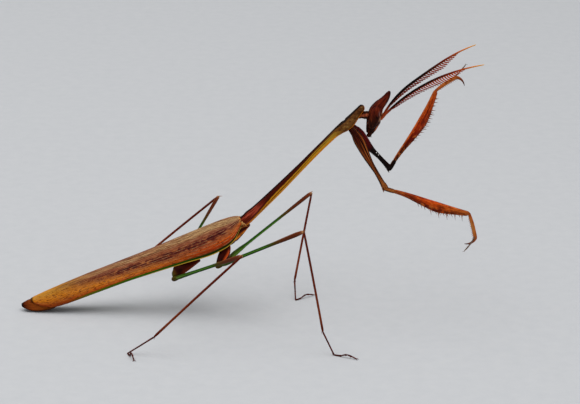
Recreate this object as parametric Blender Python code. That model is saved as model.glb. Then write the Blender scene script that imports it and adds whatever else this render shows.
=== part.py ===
"""A male cone-headed praying mantis, life size, walking with both forelegs reaching out.

Sizes are in millimetres until a mesh is made, where MM turns them into metres.
+X is ahead of the animal, +Y is its left side and +Z is up. The design frame has its
origin just below the floor, under the hinge between the prothorax and the winged thorax;
an empty then moves the animal so that it stands on the world's floor and its box is
centred over the world origin.
"""
import math

import bmesh
import bpy
from mathutils import Matrix, Vector

MM = 0.001
SIDES = {"right": -1, "left": 1}

# Height of the floor in the design frame, and the place of that frame in the world.
FLOOR = 0.22
CENTRING = Vector((-0.88, 1.43, -FLOOR))

# Clearance between two pieces that touch on the animal, and that of a joint that is bent.
GAP = 0.28
JOINT_CLEARANCE = 0.62

# Trunk: where each region starts, and how it pitches up towards the head.
PROTHORAX_HINGE = Vector((-0.2, 0.0, 17.0))
PROTHORAX_PITCH = 44.6
BODY_START = Vector((0.0, 0.0, 16.0))
BODY_PITCH = 22.4

# Prothorax sections from its hinge forwards: along, half width, top, underside.
PROTHORAX = [
    (0.0, 1.05, 1.00, -0.85),
    (1.5, 1.15, 1.02, -1.00),
    (3.2, 1.00, 0.84, -0.98),
    (6.0, 0.84, 0.74, -0.95),
    (9.0, 0.76, 0.70, -0.90),
    (12.0, 0.70, 0.68, -0.76),
    (15.0, 0.68, 0.68, -0.62),
    (18.0, 0.68, 0.74, -0.50),
    (21.0, 0.74, 0.80, -0.44),
    (23.2, 0.86, 0.86, -0.46),
    (24.6, 1.20, 0.90, -0.62),
    (25.8, 1.62, 0.90, -0.86),
    (26.8, 1.72, 0.86, -0.90),
    (27.8, 1.46, 0.80, -0.66),
    (29.0, 1.16, 0.80, -0.40),
    (30.2, 0.98, 0.82, -0.16),
    (31.0, 0.70, 0.72, 0.12),
]

# Winged thorax and abdomen, from the hinge backwards: along, half width, top, underside.
PTEROTHORAX = [
    (0.3, 0.85, 0.80, -0.90),
    (1.2, 1.30, 1.60, -1.30),
    (2.5, 1.75, 1.95, -1.80),
    (4.0, 2.00, 2.00, -2.15),
    (6.5, 2.05, 1.95, -2.20),
    (9.0, 1.80, 1.60, -1.90),
    (11.0, 1.45, 1.30, -1.35),
    (12.3, 1.10, 1.10, -0.70),
]
ABDOMEN = [
    (12.6, 1.00, 1.00, -0.60),
    (14.5, 1.20, 1.05, -0.75),
    (18.5, 1.28, 1.00, -0.80),
    (22.5, 1.22, 0.95, -0.72),
    (26.5, 1.08, 0.90, -0.55),
    (30.0, 0.88, 0.80, -0.30),
    (32.4, 0.66, 0.70, -0.10),
    (33.6, 0.34, 0.55, 0.10),
]
CERCUS_START = (33.9, 0.30, 0.30)
CERCUS_LENGTH = 3.2
CERCUS_RADIUS = (0.25, 0.29, 0.26, 0.14)

# Wings, folded into a roof: along, ridge, lower margin, half width of the roof.
TEGMEN = [
    (1.0, 2.45, 0.40, 2.10),
    (2.2, 2.80, -0.55, 2.65),
    (4.0, 2.92, -1.15, 2.95),
    (7.0, 2.92, -1.40, 3.00),
    (12.0, 2.88, -1.16, 2.75),
    (18.0, 2.82, -0.78, 2.45),
    (24.0, 2.86, -0.52, 2.28),
    (30.0, 2.92, -0.24, 2.08),
    (35.0, 2.86, -0.10, 1.88),
    (38.5, 2.76, 0.08, 1.68),
    (40.5, 2.64, 0.42, 1.48),
    (41.9, 2.50, 0.92, 1.30),
    (42.7, 2.36, 1.40, 1.18),
]
HINDWING = [
    (12.0, 2.88, -1.16, 2.75),
    (18.0, 2.82, -0.78, 2.45),
    (24.0, 2.86, -0.52, 2.28),
    (30.0, 2.92, -0.24, 2.08),
    (35.0, 2.86, -0.14, 1.88),
    (38.5, 2.76, -0.28, 1.68),
    (40.5, 2.64, -0.50, 1.48),
    (41.7, 2.52, -0.10, 1.34),
    (42.7, 2.36, 0.60, 1.18),
    (43.3, 2.60, 1.10, 1.14),
    (43.8, 2.64, 1.50, 1.08),
]
WING_THICKNESS = 0.5
HINDWING_INSET = WING_THICKNESS + GAP
# How far round the roof a hindwing lies: folded high along the body, full at its tip.
HINDWING_HIGH_SPREAD = 48.0
HINDWING_SPREADS_FROM = 31.0
HINDWING_SPREADS_BY = 38.5
WING_ROUNDNESS = 0.92
WING_ARC_STEPS = 7

# Head, level by level from mouth to the tip of its cone: height, rear, front, half width.
HEAD = [
    (34.35, 22.16, 23.72, 0.72),
    (35.00, 22.12, 24.12, 0.92),
    (35.80, 22.14, 24.58, 1.12),
    (36.50, 22.22, 24.95, 1.28),
    (37.20, 22.36, 25.02, 1.36),
    (37.90, 22.60, 25.06, 1.30),
    (38.60, 22.98, 25.32, 1.12),
    (39.20, 23.52, 25.54, 0.92),
    (39.80, 24.20, 25.78, 0.74),
    (40.40, 24.74, 26.02, 0.60),
    (41.00, 25.30, 26.26, 0.46),
    (41.42, 25.76, 26.40, 0.30),
    (41.64, 26.10, 26.34, 0.12),
]
MOUTHPARTS = [
    (32.98, 22.50, 22.84, 0.22),
    (33.25, 22.32, 23.02, 0.46),
    (33.65, 22.22, 23.28, 0.62),
    (34.07, 22.18, 23.54, 0.68),
]
EYE_CENTRE = (23.52, 1.42, 37.25)
EYE_RADII = (1.00, 0.84, 2.40)
EYE_LEAN = 15.0
EYE_TOE_IN = 10.0
NECK = ((21.35, 36.70, 0.42), (21.68, 36.88, 0.50), (22.03, 36.96, 0.52))

# Antennae: a rachis that bends down and out, with two rows of teeth below it.
ANTENNA_ROOT = (25.38, 0.42, 37.02)
ANTENNA_LENGTH = 21.7
ANTENNA_START_PITCH = 46.0
ANTENNA_END_PITCH = 17.0
ANTENNA_START_BEARING = 8.0
ANTENNA_END_BEARING = 27.0
ANTENNA_LIFT = {"right": 0.0, "left": 2.0}
ANTENNA_STEPS = 22
RACHIS_RADIUS = 0.27
COMB_FROM = 0.12
COMB_TO = 0.78
COMB_DEPTH = 1.20
COMB_FULL_AT = 0.60
COMB_SPLAY = 34.0

# Forelegs: lengths, then the bearing (outwards from straight ahead) and pitch of each part.
FORE_COXA_LENGTH = 12.0
FORE_TROCHANTER_LENGTH = 1.7
FORE_FEMUR_LENGTH = 14.9
FORE_TIBIA_LENGTH = 5.0
FORE_COXA_ROOT = (19.9, 1.15, 34.4)
FORE_POSE = {
    "right": {"coxa": (14.0, -60.2), "femur": (27.6, -7.8), "tibia": (26.0, -74.0)},
    "left": {"coxa": (30.2, -47.75), "femur": (25.5, 54.6), "tibia": (20.8, 32.0)},
}
FORE_TARSUS_TURN = {"right": -48.0, "left": 20.0}
FORE_TARSUS_LENGTH = 3.6

# Fore coxa and femur sections: fraction along, half width, top, underside.
FORE_COXA = [
    (0.00, 0.55, 0.55, -0.60),
    (0.07, 0.80, 0.95, -0.78),
    (0.17, 0.86, 1.05, -0.96),
    (0.30, 0.76, 0.84, -0.92),
    (0.45, 0.62, 0.52, -0.80),
    (0.60, 0.48, 0.34, -0.60),
    (0.75, 0.42, 0.36, -0.46),
    (0.88, 0.48, 0.46, -0.50),
    (0.96, 0.52, 0.50, -0.56),
    (1.00, 0.36, 0.34, -0.40),
]
FORE_FEMUR = [
    (0.00, 0.32, 0.40, -0.34),
    (0.08, 0.36, 0.46, -0.36),
    (0.18, 0.40, 0.50, -0.50),
    (0.28, 0.44, 0.46, -0.72),
    (0.38, 0.47, 0.40, -0.98),
    (0.48, 0.48, 0.36, -1.22),
    (0.58, 0.48, 0.34, -1.48),
    (0.66, 0.45, 0.30, -1.40),
    (0.74, 0.41, 0.26, -1.22),
    (0.83, 0.37, 0.22, -0.98),
    (0.92, 0.36, 0.20, -0.74),
    (0.98, 0.33, 0.18, -0.52),
    (1.00, 0.24, 0.08, -0.36),
]
FORE_TIBIA = [
    (0.02, 0.26, 0.24, -0.30),
    (0.12, 0.29, 0.30, -0.34),
    (0.35, 0.28, 0.40, -0.36),
    (0.65, 0.27, 0.40, -0.36),
    (0.88, 0.26, 0.24, -0.42),
]
FORE_TIBIA_BOW = 0.12
CLAW_TURN = 118.0
CLAW_LENGTH = 2.6
CLAW_STEPS = 7
CLAW_RADIUS = 0.27

# Femoral spines, as fractions along the femur: the outer row, the inner row of long
# spines with short ones between, and the group on the underside near the middle.
OUTER_SPINES = (0.51, 0.615, 0.72, 0.825, 0.915)
OUTER_SPINE_LENGTH = 0.80
INNER_SPINES = (0.465, 0.565, 0.665, 0.77, 0.87)
INNER_SPINE_LENGTH = 0.95
DISCOIDAL_SPINES = (0.325, 0.37, 0.415)
DISCOIDAL_SPINE_LENGTH = 0.85
TIBIAL_SPINES = (0.30, 0.46, 0.62, 0.78)
TIBIAL_SPINE_LENGTH = 0.55
SPINE_RADIUS = 0.17
SPINE_ROOT = 0.28
SPINE_LEAN = 20.0

# Walking legs: root of the coxa, lengths, and the way each part points.
WALKING_LEGS = {
    "mid": {
        "root": (-3.30, 1.20, 12.20),
        "coxa": 3.80,
        "femur": 24.4,
        "tibia": 18.0,
        "basitarsus": 4.4,
        "tarsus": 4.9,
        "swelling": 0.52,
    },
    "hind": {
        "root": (-8.30, 1.15, 10.05),
        "coxa": 5.75,
        "femur": 24.2,
        "tibia": 21.05,
        "basitarsus": 5.65,
        "tarsus": 4.2,
        "swelling": 0.36,
    },
}
WALKING_POSE = {
    ("mid", "right"): {
        "coxa": (122.9, -40.0),
        "femur": (44.5, 27.7),
        "tibia": (56.4, -70.9),
        "basitarsus": 36.0,
        "tarsus": (29.6, 0.0),
    },
    ("mid", "left"): {
        "coxa": (94.5, -66.0),
        "femur": (45.0, 19.5),
        "tibia": (-107.6, -50.7),
        "basitarsus": -88.0,
        "tarsus": (40.5, 0.0),
    },
    ("hind", "right"): {
        "coxa": (157.0, -30.0),
        "femur": (55.3, 25.0),
        "tibia": (168.4, -41.1),
        "basitarsus": -173.0,
        "tarsus": (71.0, 0.0),
    },
    ("hind", "left"): {
        "coxa": (156.0, -32.0),
        "femur": (70.0, 18.0),
        "tibia": (-162.8, -35.6),
        "basitarsus": -169.3,
        "tarsus": (-96.2, 0.0),
    },
}
WALKING_COXA_RADII = (0.62, 0.86, 0.78, 0.60, 0.36)
TROCHANTER_LENGTH = 1.5
TROCHANTER_RADII = (0.34, 0.50, 0.48, 0.34)
FEMUR_RADIUS = 0.28
KNEE_RADIUS = 0.33
KNEE_TIP_RADIUS = 0.22
KNEE_SETBACK = {"mid": 0.75, "hind": 0.70}
TIBIA_RADIUS = 0.26
TARSUS_RADIUS = 0.25
TARSUS_HEIGHT = 0.8 * TARSUS_RADIUS
FOOT_JOINTS = 4

TUBE_SIDES = 8
SHARP_ANGLE = math.radians(50)


class Frame:
    """Axes of one piece: forward along it, across towards the left, up to its back."""

    def __init__(self, origin, bearing, pitch, side=1):
        turn, rise = math.radians(side * bearing), math.radians(pitch)
        self.origin = Vector(origin)
        self.forward = Vector((
            math.cos(turn) * math.cos(rise),
            math.sin(turn) * math.cos(rise),
            math.sin(rise),
        ))
        self.across = Vector((-math.sin(turn), math.cos(turn), 0.0))
        self.up = self.forward.cross(self.across)

    def at(self, along, across=0.0, up=0.0):
        return self.origin + self.forward * along + self.across * across + self.up * up


def mirrored(point, side):
    """A place given on the left side, moved to the side asked for."""
    return Vector((point[0], side * point[1], point[2]))


def between(rows, along):
    """The row of a table of sections at a given place, worked out by straight lines."""
    for low, high in zip(rows, rows[1:]):
        if along <= high[0]:
            share = max(0.0, (along - low[0]) / (high[0] - low[0]))
            return tuple(a + (b - a) * share for a, b in zip(low, high))
    return rows[-1]


def bend(points, steps):
    """A smooth curve through points, with a number of steps between each two."""
    ends = [points[0] * 2 - points[1], *points, points[-1] * 2 - points[-2]]
    curve = []
    for a, b, c, d in zip(ends, ends[1:], ends[2:], ends[3:]):
        for i in range(steps):
            t = i / steps
            curve.append(0.5 * (
                2 * b + (c - a) * t + (2 * a - 5 * b + 4 * c - d) * t ** 2
                + (3 * b - a - 3 * c + d) * t ** 3
            ))
    return [*curve, points[-1]]


def oval(half_width, top, bottom, sides=10):
    """An oval section as (across, up) pairs, round between its top and its underside."""
    middle, half_depth = (top + bottom) / 2, (top - bottom) / 2
    turns = [2 * math.pi * (i + 0.5) / sides for i in range(sides)]
    return [(half_width * math.cos(a), middle + half_depth * math.sin(a)) for a in turns]


def shield(half_width, top, bottom):
    """A section with a low keel on top, a sharp margin at each side and a flat underside."""
    margin = bottom + 0.30 * (top - bottom)
    shoulder = bottom + 0.78 * (top - bottom)
    half = [
        (0.0, top),
        (0.52 * half_width, shoulder + 0.08 * (top - bottom)),
        (0.86 * half_width, 0.5 * (shoulder + margin)),
        (half_width, margin),
        (0.80 * half_width, bottom + 0.08 * (top - bottom)),
        (0.0, bottom),
    ]
    return half + [(-across, up) for across, up in reversed(half[1:-1])]


def finish(name, colour, roughness):
    """The material called name, made when it is first asked for."""
    material = bpy.data.materials.get(name)
    if material is None:
        material = bpy.data.materials.new(name)
        material.use_nodes = True
        shader = material.node_tree.nodes["Principled BSDF"]
        shader.inputs["Base Color"].default_value = (*colour, 1.0)
        shader.inputs["Roughness"].default_value = roughness
        shader.inputs["Metallic"].default_value = 0.0
    return material


def solid(name, bm, material, pivot, collection=None):
    """Turn a bmesh in millimetres into one object in metres that turns about its pivot."""
    bmesh.ops.recalc_face_normals(bm, faces=bm.faces)
    bmesh.ops.translate(bm, vec=-pivot, verts=bm.verts)
    bmesh.ops.scale(bm, vec=(MM, MM, MM), verts=bm.verts)
    mesh = bpy.data.meshes.new(name)
    bm.to_mesh(mesh)
    bm.free()
    mesh.shade_smooth()
    mesh.set_sharp_from_angle(angle=SHARP_ANGLE)
    mesh.materials.append(material)
    obj = bpy.data.objects.new(name, mesh)
    obj.location = pivot * MM
    obj.parent = ORIGIN
    (collection or PARTS).objects.link(obj)
    return obj


def cutter(name, bm, material, pivot):
    """A helper body for a Boolean, kept out of sight."""
    obj = solid(name, bm, material, pivot, CUTTERS)
    obj.hide_render = True
    obj.display_type = "WIRE"
    return obj


def combine(obj, helper, operation):
    """Join a helper to an object, or cut it away."""
    boolean = obj.modifiers.new(helper.name, "BOOLEAN")
    boolean.operation = operation
    boolean.solver = "EXACT"
    boolean.object = helper


def skin(rings):
    """A closed bmesh over a chain of rings of the same number of points."""
    bm = bmesh.new()
    loops = [[bm.verts.new(point) for point in ring] for ring in rings]
    for low, high in zip(loops, loops[1:]):
        for i in range(len(low)):
            j = (i + 1) % len(low)
            bm.faces.new((low[i], low[j], high[j], high[i]))
    bm.faces.new(loops[0])
    bm.faces.new(loops[-1])
    return bm


def loft(frame, sections, outline=oval, scale=1.0):
    """A skin over sections (along, half width, top, underside) of a straight piece."""
    rings = []
    for along, half_width, top, bottom in sections:
        pairs = outline(half_width, top, bottom)
        rings.append([frame.at(along * scale, across, up) for across, up in pairs])
    return skin(rings)


def sweep(path, across, sizes):
    """A skin of ovals along a path that bends in one plane; across is square to it."""
    rings = []
    for i, (point, (half_width, half_depth)) in enumerate(zip(path, sizes)):
        ahead = (path[min(i + 1, len(path) - 1)] - path[max(i - 1, 0)]).normalized()
        up = ahead.cross(across).normalized()
        pairs = oval(half_width, half_depth, -half_depth, TUBE_SIDES)
        rings.append([point + across * a + up * u for a, u in pairs])
    return skin(rings)


def tube(path, radii):
    """A round tube along a path, as a mesh: a bevelled curve with its caps welded on."""
    curve = bpy.data.curves.new("path", "CURVE")
    curve.dimensions = "3D"
    curve.bevel_depth = MM
    curve.bevel_resolution = 2
    curve.use_fill_caps = True
    spline = curve.splines.new("POLY")
    spline.points.add(len(path) - 1)
    for knot, point, radius in zip(spline.points, path, radii):
        knot.co = (*(point * MM), 1.0)
        knot.radius = radius
    holder = bpy.data.objects.new("path", curve)
    CUTTERS.objects.link(holder)
    evaluated = holder.evaluated_get(bpy.context.evaluated_depsgraph_get())
    mesh = bpy.data.meshes.new_from_object(evaluated)
    bm = bmesh.new()
    bm.from_mesh(mesh)
    bmesh.ops.remove_doubles(bm, verts=bm.verts, dist=1e-6)
    bmesh.ops.scale(bm, vec=(1 / MM, 1 / MM, 1 / MM), verts=bm.verts)
    bpy.data.objects.remove(holder)
    bpy.data.curves.remove(curve)
    bpy.data.meshes.remove(mesh)
    return bm


def stand_flat(bm):
    """Cut off what reaches below the floor, and close the cut with flats."""
    bmesh.ops.bisect_plane(
        bm, geom=[*bm.verts, *bm.edges, *bm.faces], plane_co=(0, 0, FLOOR), plane_no=(0, 0, 1),
        clear_inner=True,
    )
    bmesh.ops.holes_fill(bm, edges=[edge for edge in bm.edges if edge.is_boundary])
    return bm


def spine(bm, foot, point):
    """Add a slender cone from foot to point."""
    way = point - foot
    turn = Vector((0, 0, 1)).rotation_difference(way).to_matrix().to_4x4()
    turn.translation = foot + way / 2
    bmesh.ops.create_cone(
        bm, cap_ends=True, segments=5, radius1=SPINE_RADIUS, radius2=0.03,
        depth=way.length, matrix=turn,
    )


def make_prothorax():
    frame = Frame(PROTHORAX_HINGE, 0.0, PROTHORAX_PITCH)
    shell = finish("pronotum", (0.13, 0.04, 0.01), 0.45)
    solid("prothorax", loft(frame, PROTHORAX, shield), shell, frame.origin)


def make_body():
    """Winged thorax, abdomen and cerci; their tables run backwards."""
    frame = Frame(BODY_START, 0.0, BODY_PITCH)
    maroon = finish("thorax", (0.09, 0.02, 0.01), 0.5)
    brown = finish("abdomen", (0.20, 0.09, 0.03), 0.55)
    solid("pterothorax", loft(frame, PTEROTHORAX, scale=-1.0), maroon, frame.origin)
    solid("abdomen", loft(frame, ABDOMEN, scale=-1.0), brown, frame.at(-ABDOMEN[0][0]))
    along, across, up = CERCUS_START
    for side, sign in SIDES.items():
        steps = len(CERCUS_RADIUS) - 1
        places = [along + CERCUS_LENGTH * i / steps for i in range(steps + 1)]
        path = [frame.at(-reach, sign * across, up) for reach in places]
        solid(f"cercus_{side}", tube(path, CERCUS_RADIUS), brown, path[0])


def wing_ring(frame, row, sign, inset, spread):
    """One section of a wing: the outer arc of the roof, then back along the inner one."""
    along, ridge, margin, half_width = row
    angles = [math.radians(spread) * i / WING_ARC_STEPS for i in range(WING_ARC_STEPS + 1)]
    arcs = []
    for depth in (inset, inset + WING_THICKNESS):
        wide = max(half_width - depth, 0.06 if depth > inset else 0.12)
        high = max(ridge - margin - depth, 0.06 if depth > inset else 0.12)
        arcs.append([
            frame.at(
                -along,
                sign * (GAP / 2 + wide * math.sin(angle) ** WING_ROUNDNESS),
                margin + high * math.cos(angle) ** WING_ROUNDNESS,
            )
            for angle in angles
        ])
    return arcs[0] + arcs[1][::-1]


def make_wings():
    frame = Frame(BODY_START, 0.0, BODY_PITCH)
    fore = finish("tegmen", (0.35, 0.15, 0.04), 0.5)
    rear = finish("hindwing", (0.16, 0.07, 0.03), 0.4)
    for side, sign in SIDES.items():
        rings = [wing_ring(frame, row, sign, 0.0, 90.0) for row in TEGMEN]
        solid(f"tegmen_{side}", stand_flat(skin(rings)), fore, rings[0][0])
        rings = []
        for row in HINDWING:
            share = (row[0] - HINDWING_SPREADS_FROM) / (HINDWING_SPREADS_BY - HINDWING_SPREADS_FROM)
            share = min(1.0, max(0.0, share))
            spread = HINDWING_HIGH_SPREAD + (90.0 - HINDWING_HIGH_SPREAD) * share
            rings.append(wing_ring(frame, row, sign, HINDWING_INSET, spread))
        solid(f"hindwing_{side}", stand_flat(skin(rings)), rear, rings[0][0])


def level(height, rear, front, half_width, sides=12):
    """A level section through the head, as points."""
    middle, half_depth = (rear + front) / 2, (front - rear) / 2
    turns = [2 * math.pi * (i + 0.5) / sides for i in range(sides)]
    return [
        Vector((middle + half_depth * math.cos(a), half_width * math.sin(a), height)) for a in turns
    ]


def eyeball(sign, growth=0.0):
    """An eye: an egg that leans forward with the face and turns in at its front."""
    radii = Vector(EYE_RADII) + Vector((growth, growth, growth))
    bm = bmesh.new()
    made = bmesh.ops.create_uvsphere(bm, u_segments=12, v_segments=8, radius=1.0)
    bmesh.ops.scale(bm, vec=radii, verts=made["verts"])
    lean = Matrix.Rotation(math.radians(EYE_LEAN), 3, "Y")
    turn = Matrix.Rotation(math.radians(-sign * EYE_TOE_IN), 3, "Z")
    bmesh.ops.rotate(bm, cent=(0, 0, 0), matrix=turn @ lean, verts=made["verts"])
    bmesh.ops.translate(bm, vec=mirrored(EYE_CENTRE, sign), verts=made["verts"])
    return bm


def make_head():
    red_brown = finish("head", (0.10, 0.02, 0.01), 0.4)
    glossy = finish("eye", (0.12, 0.03, 0.015), 0.15)
    path = [Vector((x, 0.0, z)) for x, z, radius in NECK]
    head = solid("head", skin([level(*row) for row in HEAD]), red_brown, path[-1])
    jaws = skin([level(*row) for row in MOUTHPARTS])
    solid("mouthparts", jaws, red_brown, Vector((MOUTHPARTS[-1][1], 0.0, MOUTHPARTS[-1][0])))
    for side, sign in SIDES.items():
        centre = mirrored(EYE_CENTRE, sign)
        solid(f"eye_{side}", eyeball(sign), glossy, centre)
        combine(head, cutter(f"socket_{side}", eyeball(sign, GAP), red_brown, centre), "DIFFERENCE")
    flesh = finish("neck", (0.55, 0.20, 0.10), 0.5)
    solid("neck", tube(path, [row[2] for row in NECK]), flesh, path[0])


def comb_ring(point, frame, depth):
    """A section of an antenna: the rachis on top, and below it one vane at each side."""
    splay = math.radians(COMB_SPLAY)
    out, down = depth * math.sin(splay), depth * math.cos(splay)
    half = [
        (0.0, RACHIS_RADIUS),
        (0.7 * RACHIS_RADIUS + 0.15 * out, 0.6 * RACHIS_RADIUS),
        (RACHIS_RADIUS + out, -down),
        (max(out - 0.6 * RACHIS_RADIUS, 0.5 * RACHIS_RADIUS), -down - 0.7 * RACHIS_RADIUS),
        (0.0, -RACHIS_RADIUS - 0.35 * down),
    ]
    pairs = half + [(-across, up) for across, up in reversed(half[1:-1])]
    return [point + frame.across * across + frame.up * up for across, up in pairs]


def comb_depth(share):
    """Depth of the comb at a share of the antenna's length."""
    if share <= COMB_FULL_AT:
        rise = max(0.0, (share - COMB_FROM) / (COMB_FULL_AT - COMB_FROM))
        return COMB_DEPTH * rise ** 0.55
    fall = min(1.0, (share - COMB_FULL_AT) / (COMB_TO - COMB_FULL_AT))
    return COMB_DEPTH * (1.0 - fall) ** 0.8


def make_antennae():
    chestnut = finish("antenna", (0.20, 0.04, 0.01), 0.5)
    for side, sign in SIDES.items():
        root = point = mirrored(ANTENNA_ROOT, sign)
        rings = []
        for i in range(ANTENNA_STEPS + 1):
            share = i / ANTENNA_STEPS
            eased = share ** 0.8
            fall = (ANTENNA_START_PITCH - ANTENNA_END_PITCH) * eased
            pitch = ANTENNA_START_PITCH - fall + ANTENNA_LIFT[side]
            bearing = ANTENNA_START_BEARING + (ANTENNA_END_BEARING - ANTENNA_START_BEARING) * eased
            frame = Frame(point, bearing, pitch, sign)
            rings.append(comb_ring(point, frame, comb_depth(share)))
            point = frame.at(ANTENNA_LENGTH / ANTENNA_STEPS)
        solid(f"antenna_{side}", skin(rings), chestnut, root)


def make_foreleg(side):
    sign = SIDES[side]
    pose = FORE_POSE[side]
    maroon = finish("fore_coxa", (0.18, 0.04, 0.02), 0.4)
    orange = finish("fore_femur", (0.45, 0.13, 0.03), 0.4)

    coxa = Frame(mirrored(FORE_COXA_ROOT, sign), *pose["coxa"], sign)
    length = FORE_COXA_LENGTH - GAP
    rows = [(row[0] * length, *row[1:]) for row in FORE_COXA]
    solid(f"fore_coxa_{side}", loft(coxa, rows), maroon, coxa.origin)

    femur = Frame(coxa.at(FORE_COXA_LENGTH), *pose["femur"], sign)
    reach = FORE_TROCHANTER_LENGTH - GAP
    rows = [
        (JOINT_CLEARANCE, 0.24, 0.24, -0.24),
        (0.5 * (JOINT_CLEARANCE + reach), 0.36, 0.40, -0.36),
        (reach, 0.32, 0.38, -0.34),
    ]
    solid(f"fore_trochanter_{side}", loft(femur, rows), maroon, femur.origin)

    rows = [(FORE_TROCHANTER_LENGTH + row[0] * FORE_FEMUR_LENGTH, *row[1:]) for row in FORE_FEMUR]
    root = femur.at(FORE_TROCHANTER_LENGTH)
    thigh = solid(f"fore_femur_{side}", loft(femur, rows), orange, root)
    thorns = bmesh.new()
    groups = (
        (OUTER_SPINES, OUTER_SPINE_LENGTH, sign),
        (INNER_SPINES, INNER_SPINE_LENGTH, -sign),
        (DISCOIDAL_SPINES, DISCOIDAL_SPINE_LENGTH, 0.0),
    )
    for places, spine_length, lateral in groups:
        for share in places:
            reach = FORE_TROCHANTER_LENGTH + share * FORE_FEMUR_LENGTH
            along, half_width, top, bottom = between(rows, reach)
            foot = femur.at(along, 0.35 * half_width * lateral, bottom + SPINE_ROOT)
            way = (femur.forward * math.sin(math.radians(SPINE_LEAN)) - femur.up
                   + femur.across * 0.38 * lateral).normalized()
            spine(thorns, foot, foot + way * (spine_length + SPINE_ROOT))
    combine(thigh, cutter(f"fore_femur_spines_{side}", thorns, orange, root), "UNION")

    knee = femur.at(FORE_TROCHANTER_LENGTH + FORE_FEMUR_LENGTH, 0.0, -0.12)
    make_fore_tibia(side, knee)


def make_fore_tibia(side, knee):
    """A bowed shin that ends in a hooked claw, with the slim tarsus at its end."""
    sign = SIDES[side]
    orange = finish("fore_tibia", (0.45, 0.16, 0.04), 0.4)
    shin = Frame(knee, *FORE_POSE[side]["tibia"], sign)
    path, sizes = [], []
    for share, half_width, top, bottom in FORE_TIBIA:
        bow = FORE_TIBIA_BOW * math.sin(math.pi * share)
        path.append(shin.at(GAP + share * FORE_TIBIA_LENGTH, 0.0, (top + bottom) / 2 + bow))
        sizes.append((half_width, (top - bottom) / 2))
    point = path[-1]
    for i in range(1, CLAW_STEPS + 1):
        share = i / CLAW_STEPS
        turned = math.radians(-CLAW_TURN * share ** 0.8)
        step = CLAW_LENGTH / CLAW_STEPS
        point = point + (shin.forward * math.cos(turned) + shin.up * math.sin(turned)) * step
        radius = CLAW_RADIUS * (1.0 - 0.86 * share ** 1.2)
        path.append(point)
        sizes.append((radius, radius * 1.1))
    tibia = solid(f"fore_tibia_{side}", sweep(path, shin.across, sizes), orange, knee)

    thorns = bmesh.new()
    for share in TIBIAL_SPINES:
        bow = FORE_TIBIA_BOW * math.sin(math.pi * share)
        foot = shin.at(GAP + share * FORE_TIBIA_LENGTH, 0.0, bow - 0.08)
        way = (shin.forward * 0.5 - shin.up).normalized()
        spine(thorns, foot, foot + way * (TIBIAL_SPINE_LENGTH + SPINE_ROOT))
    combine(tibia, cutter(f"fore_tibia_spines_{side}", thorns, orange, knee), "UNION")

    turned = math.radians(FORE_TARSUS_TURN[side])
    way = shin.forward * math.cos(turned) + shin.up * math.sin(turned)
    out = shin.across * sign * (CLAW_RADIUS + TARSUS_RADIUS + GAP)
    root = shin.at(0.90 * FORE_TIBIA_LENGTH) + out
    ankle = root + way * 0.4 * FORE_TARSUS_LENGTH + shin.forward * 0.3
    end = root + way * FORE_TARSUS_LENGTH
    foot_path = bend([root, ankle, end], 3)
    radii = [TARSUS_RADIUS] * (len(foot_path) - 1) + [0.6 * TARSUS_RADIUS]
    dark = finish("tarsus", (0.10, 0.03, 0.02), 0.5)
    solid(f"fore_tarsus_{side}", tube(foot_path, radii), dark, root)


def make_walking_leg(pair, side):
    sign = SIDES[side]
    leg, pose = WALKING_LEGS[pair], WALKING_POSE[pair, side]
    maroon = finish("walking_coxa", (0.08, 0.015, 0.01), 0.45)
    green = finish("walking_femur", (0.04, 0.13, 0.01), 0.4)
    brown = finish("walking_tibia", (0.10, 0.03, 0.01), 0.4)

    coxa = Frame(mirrored(leg["root"], sign), *pose["coxa"], sign)
    last = len(WALKING_COXA_RADII) - 1
    path = [coxa.at((leg["coxa"] - GAP) * i / last) for i in range(last + 1)]
    hip = sweep(path, coxa.across, [(radius, radius) for radius in WALKING_COXA_RADII])
    solid(f"{pair}_coxa_{side}", hip, maroon, coxa.origin)

    femur = Frame(coxa.at(leg["coxa"]), *pose["femur"], sign)
    last = len(TROCHANTER_RADII) - 1
    reach = TROCHANTER_LENGTH - GAP - JOINT_CLEARANCE
    path = [femur.at(JOINT_CLEARANCE + reach * i / last) for i in range(last + 1)]
    solid(f"{pair}_trochanter_{side}", tube(path, TROCHANTER_RADII), maroon, femur.origin)

    knee_end = leg["femur"] - KNEE_SETBACK[pair]
    swell = leg["swelling"]
    rows = [
        (TROCHANTER_LENGTH, 0.8 * swell),
        (TROCHANTER_LENGTH + 1.0, swell),
        (TROCHANTER_LENGTH + 2.6, 0.5 * (swell + FEMUR_RADIUS)),
        (0.25 * leg["femur"], FEMUR_RADIUS),
        (0.50 * leg["femur"], FEMUR_RADIUS),
        (0.72 * leg["femur"], FEMUR_RADIUS),
        (0.84 * leg["femur"], 0.5 * (KNEE_RADIUS + FEMUR_RADIUS)),
        (0.94 * leg["femur"], KNEE_RADIUS),
        (knee_end, KNEE_TIP_RADIUS),
    ]
    path = [femur.at(along) for along, radius in rows]
    solid(f"{pair}_femur_{side}", tube(path, [row[1] for row in rows]), green, path[0])

    knee = femur.at(leg["femur"])
    shin = Frame(knee, *pose["tibia"], sign)
    path = [
        femur.at(knee_end + GAP),
        knee,
        shin.at(0.35),
        shin.at(1.2),
        shin.at(0.5 * leg["tibia"]),
        shin.at(leg["tibia"] - 0.6),
        shin.at(leg["tibia"] - GAP),
    ]
    radii = [0.20, 0.25, 0.26, TIBIA_RADIUS, TIBIA_RADIUS, 1.1 * TIBIA_RADIUS, 0.8 * TIBIA_RADIUS]
    solid(f"{pair}_tibia_{side}", tube(path, radii), brown, knee)
    make_foot(pair, side, shin.at(leg["tibia"]))


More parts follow.
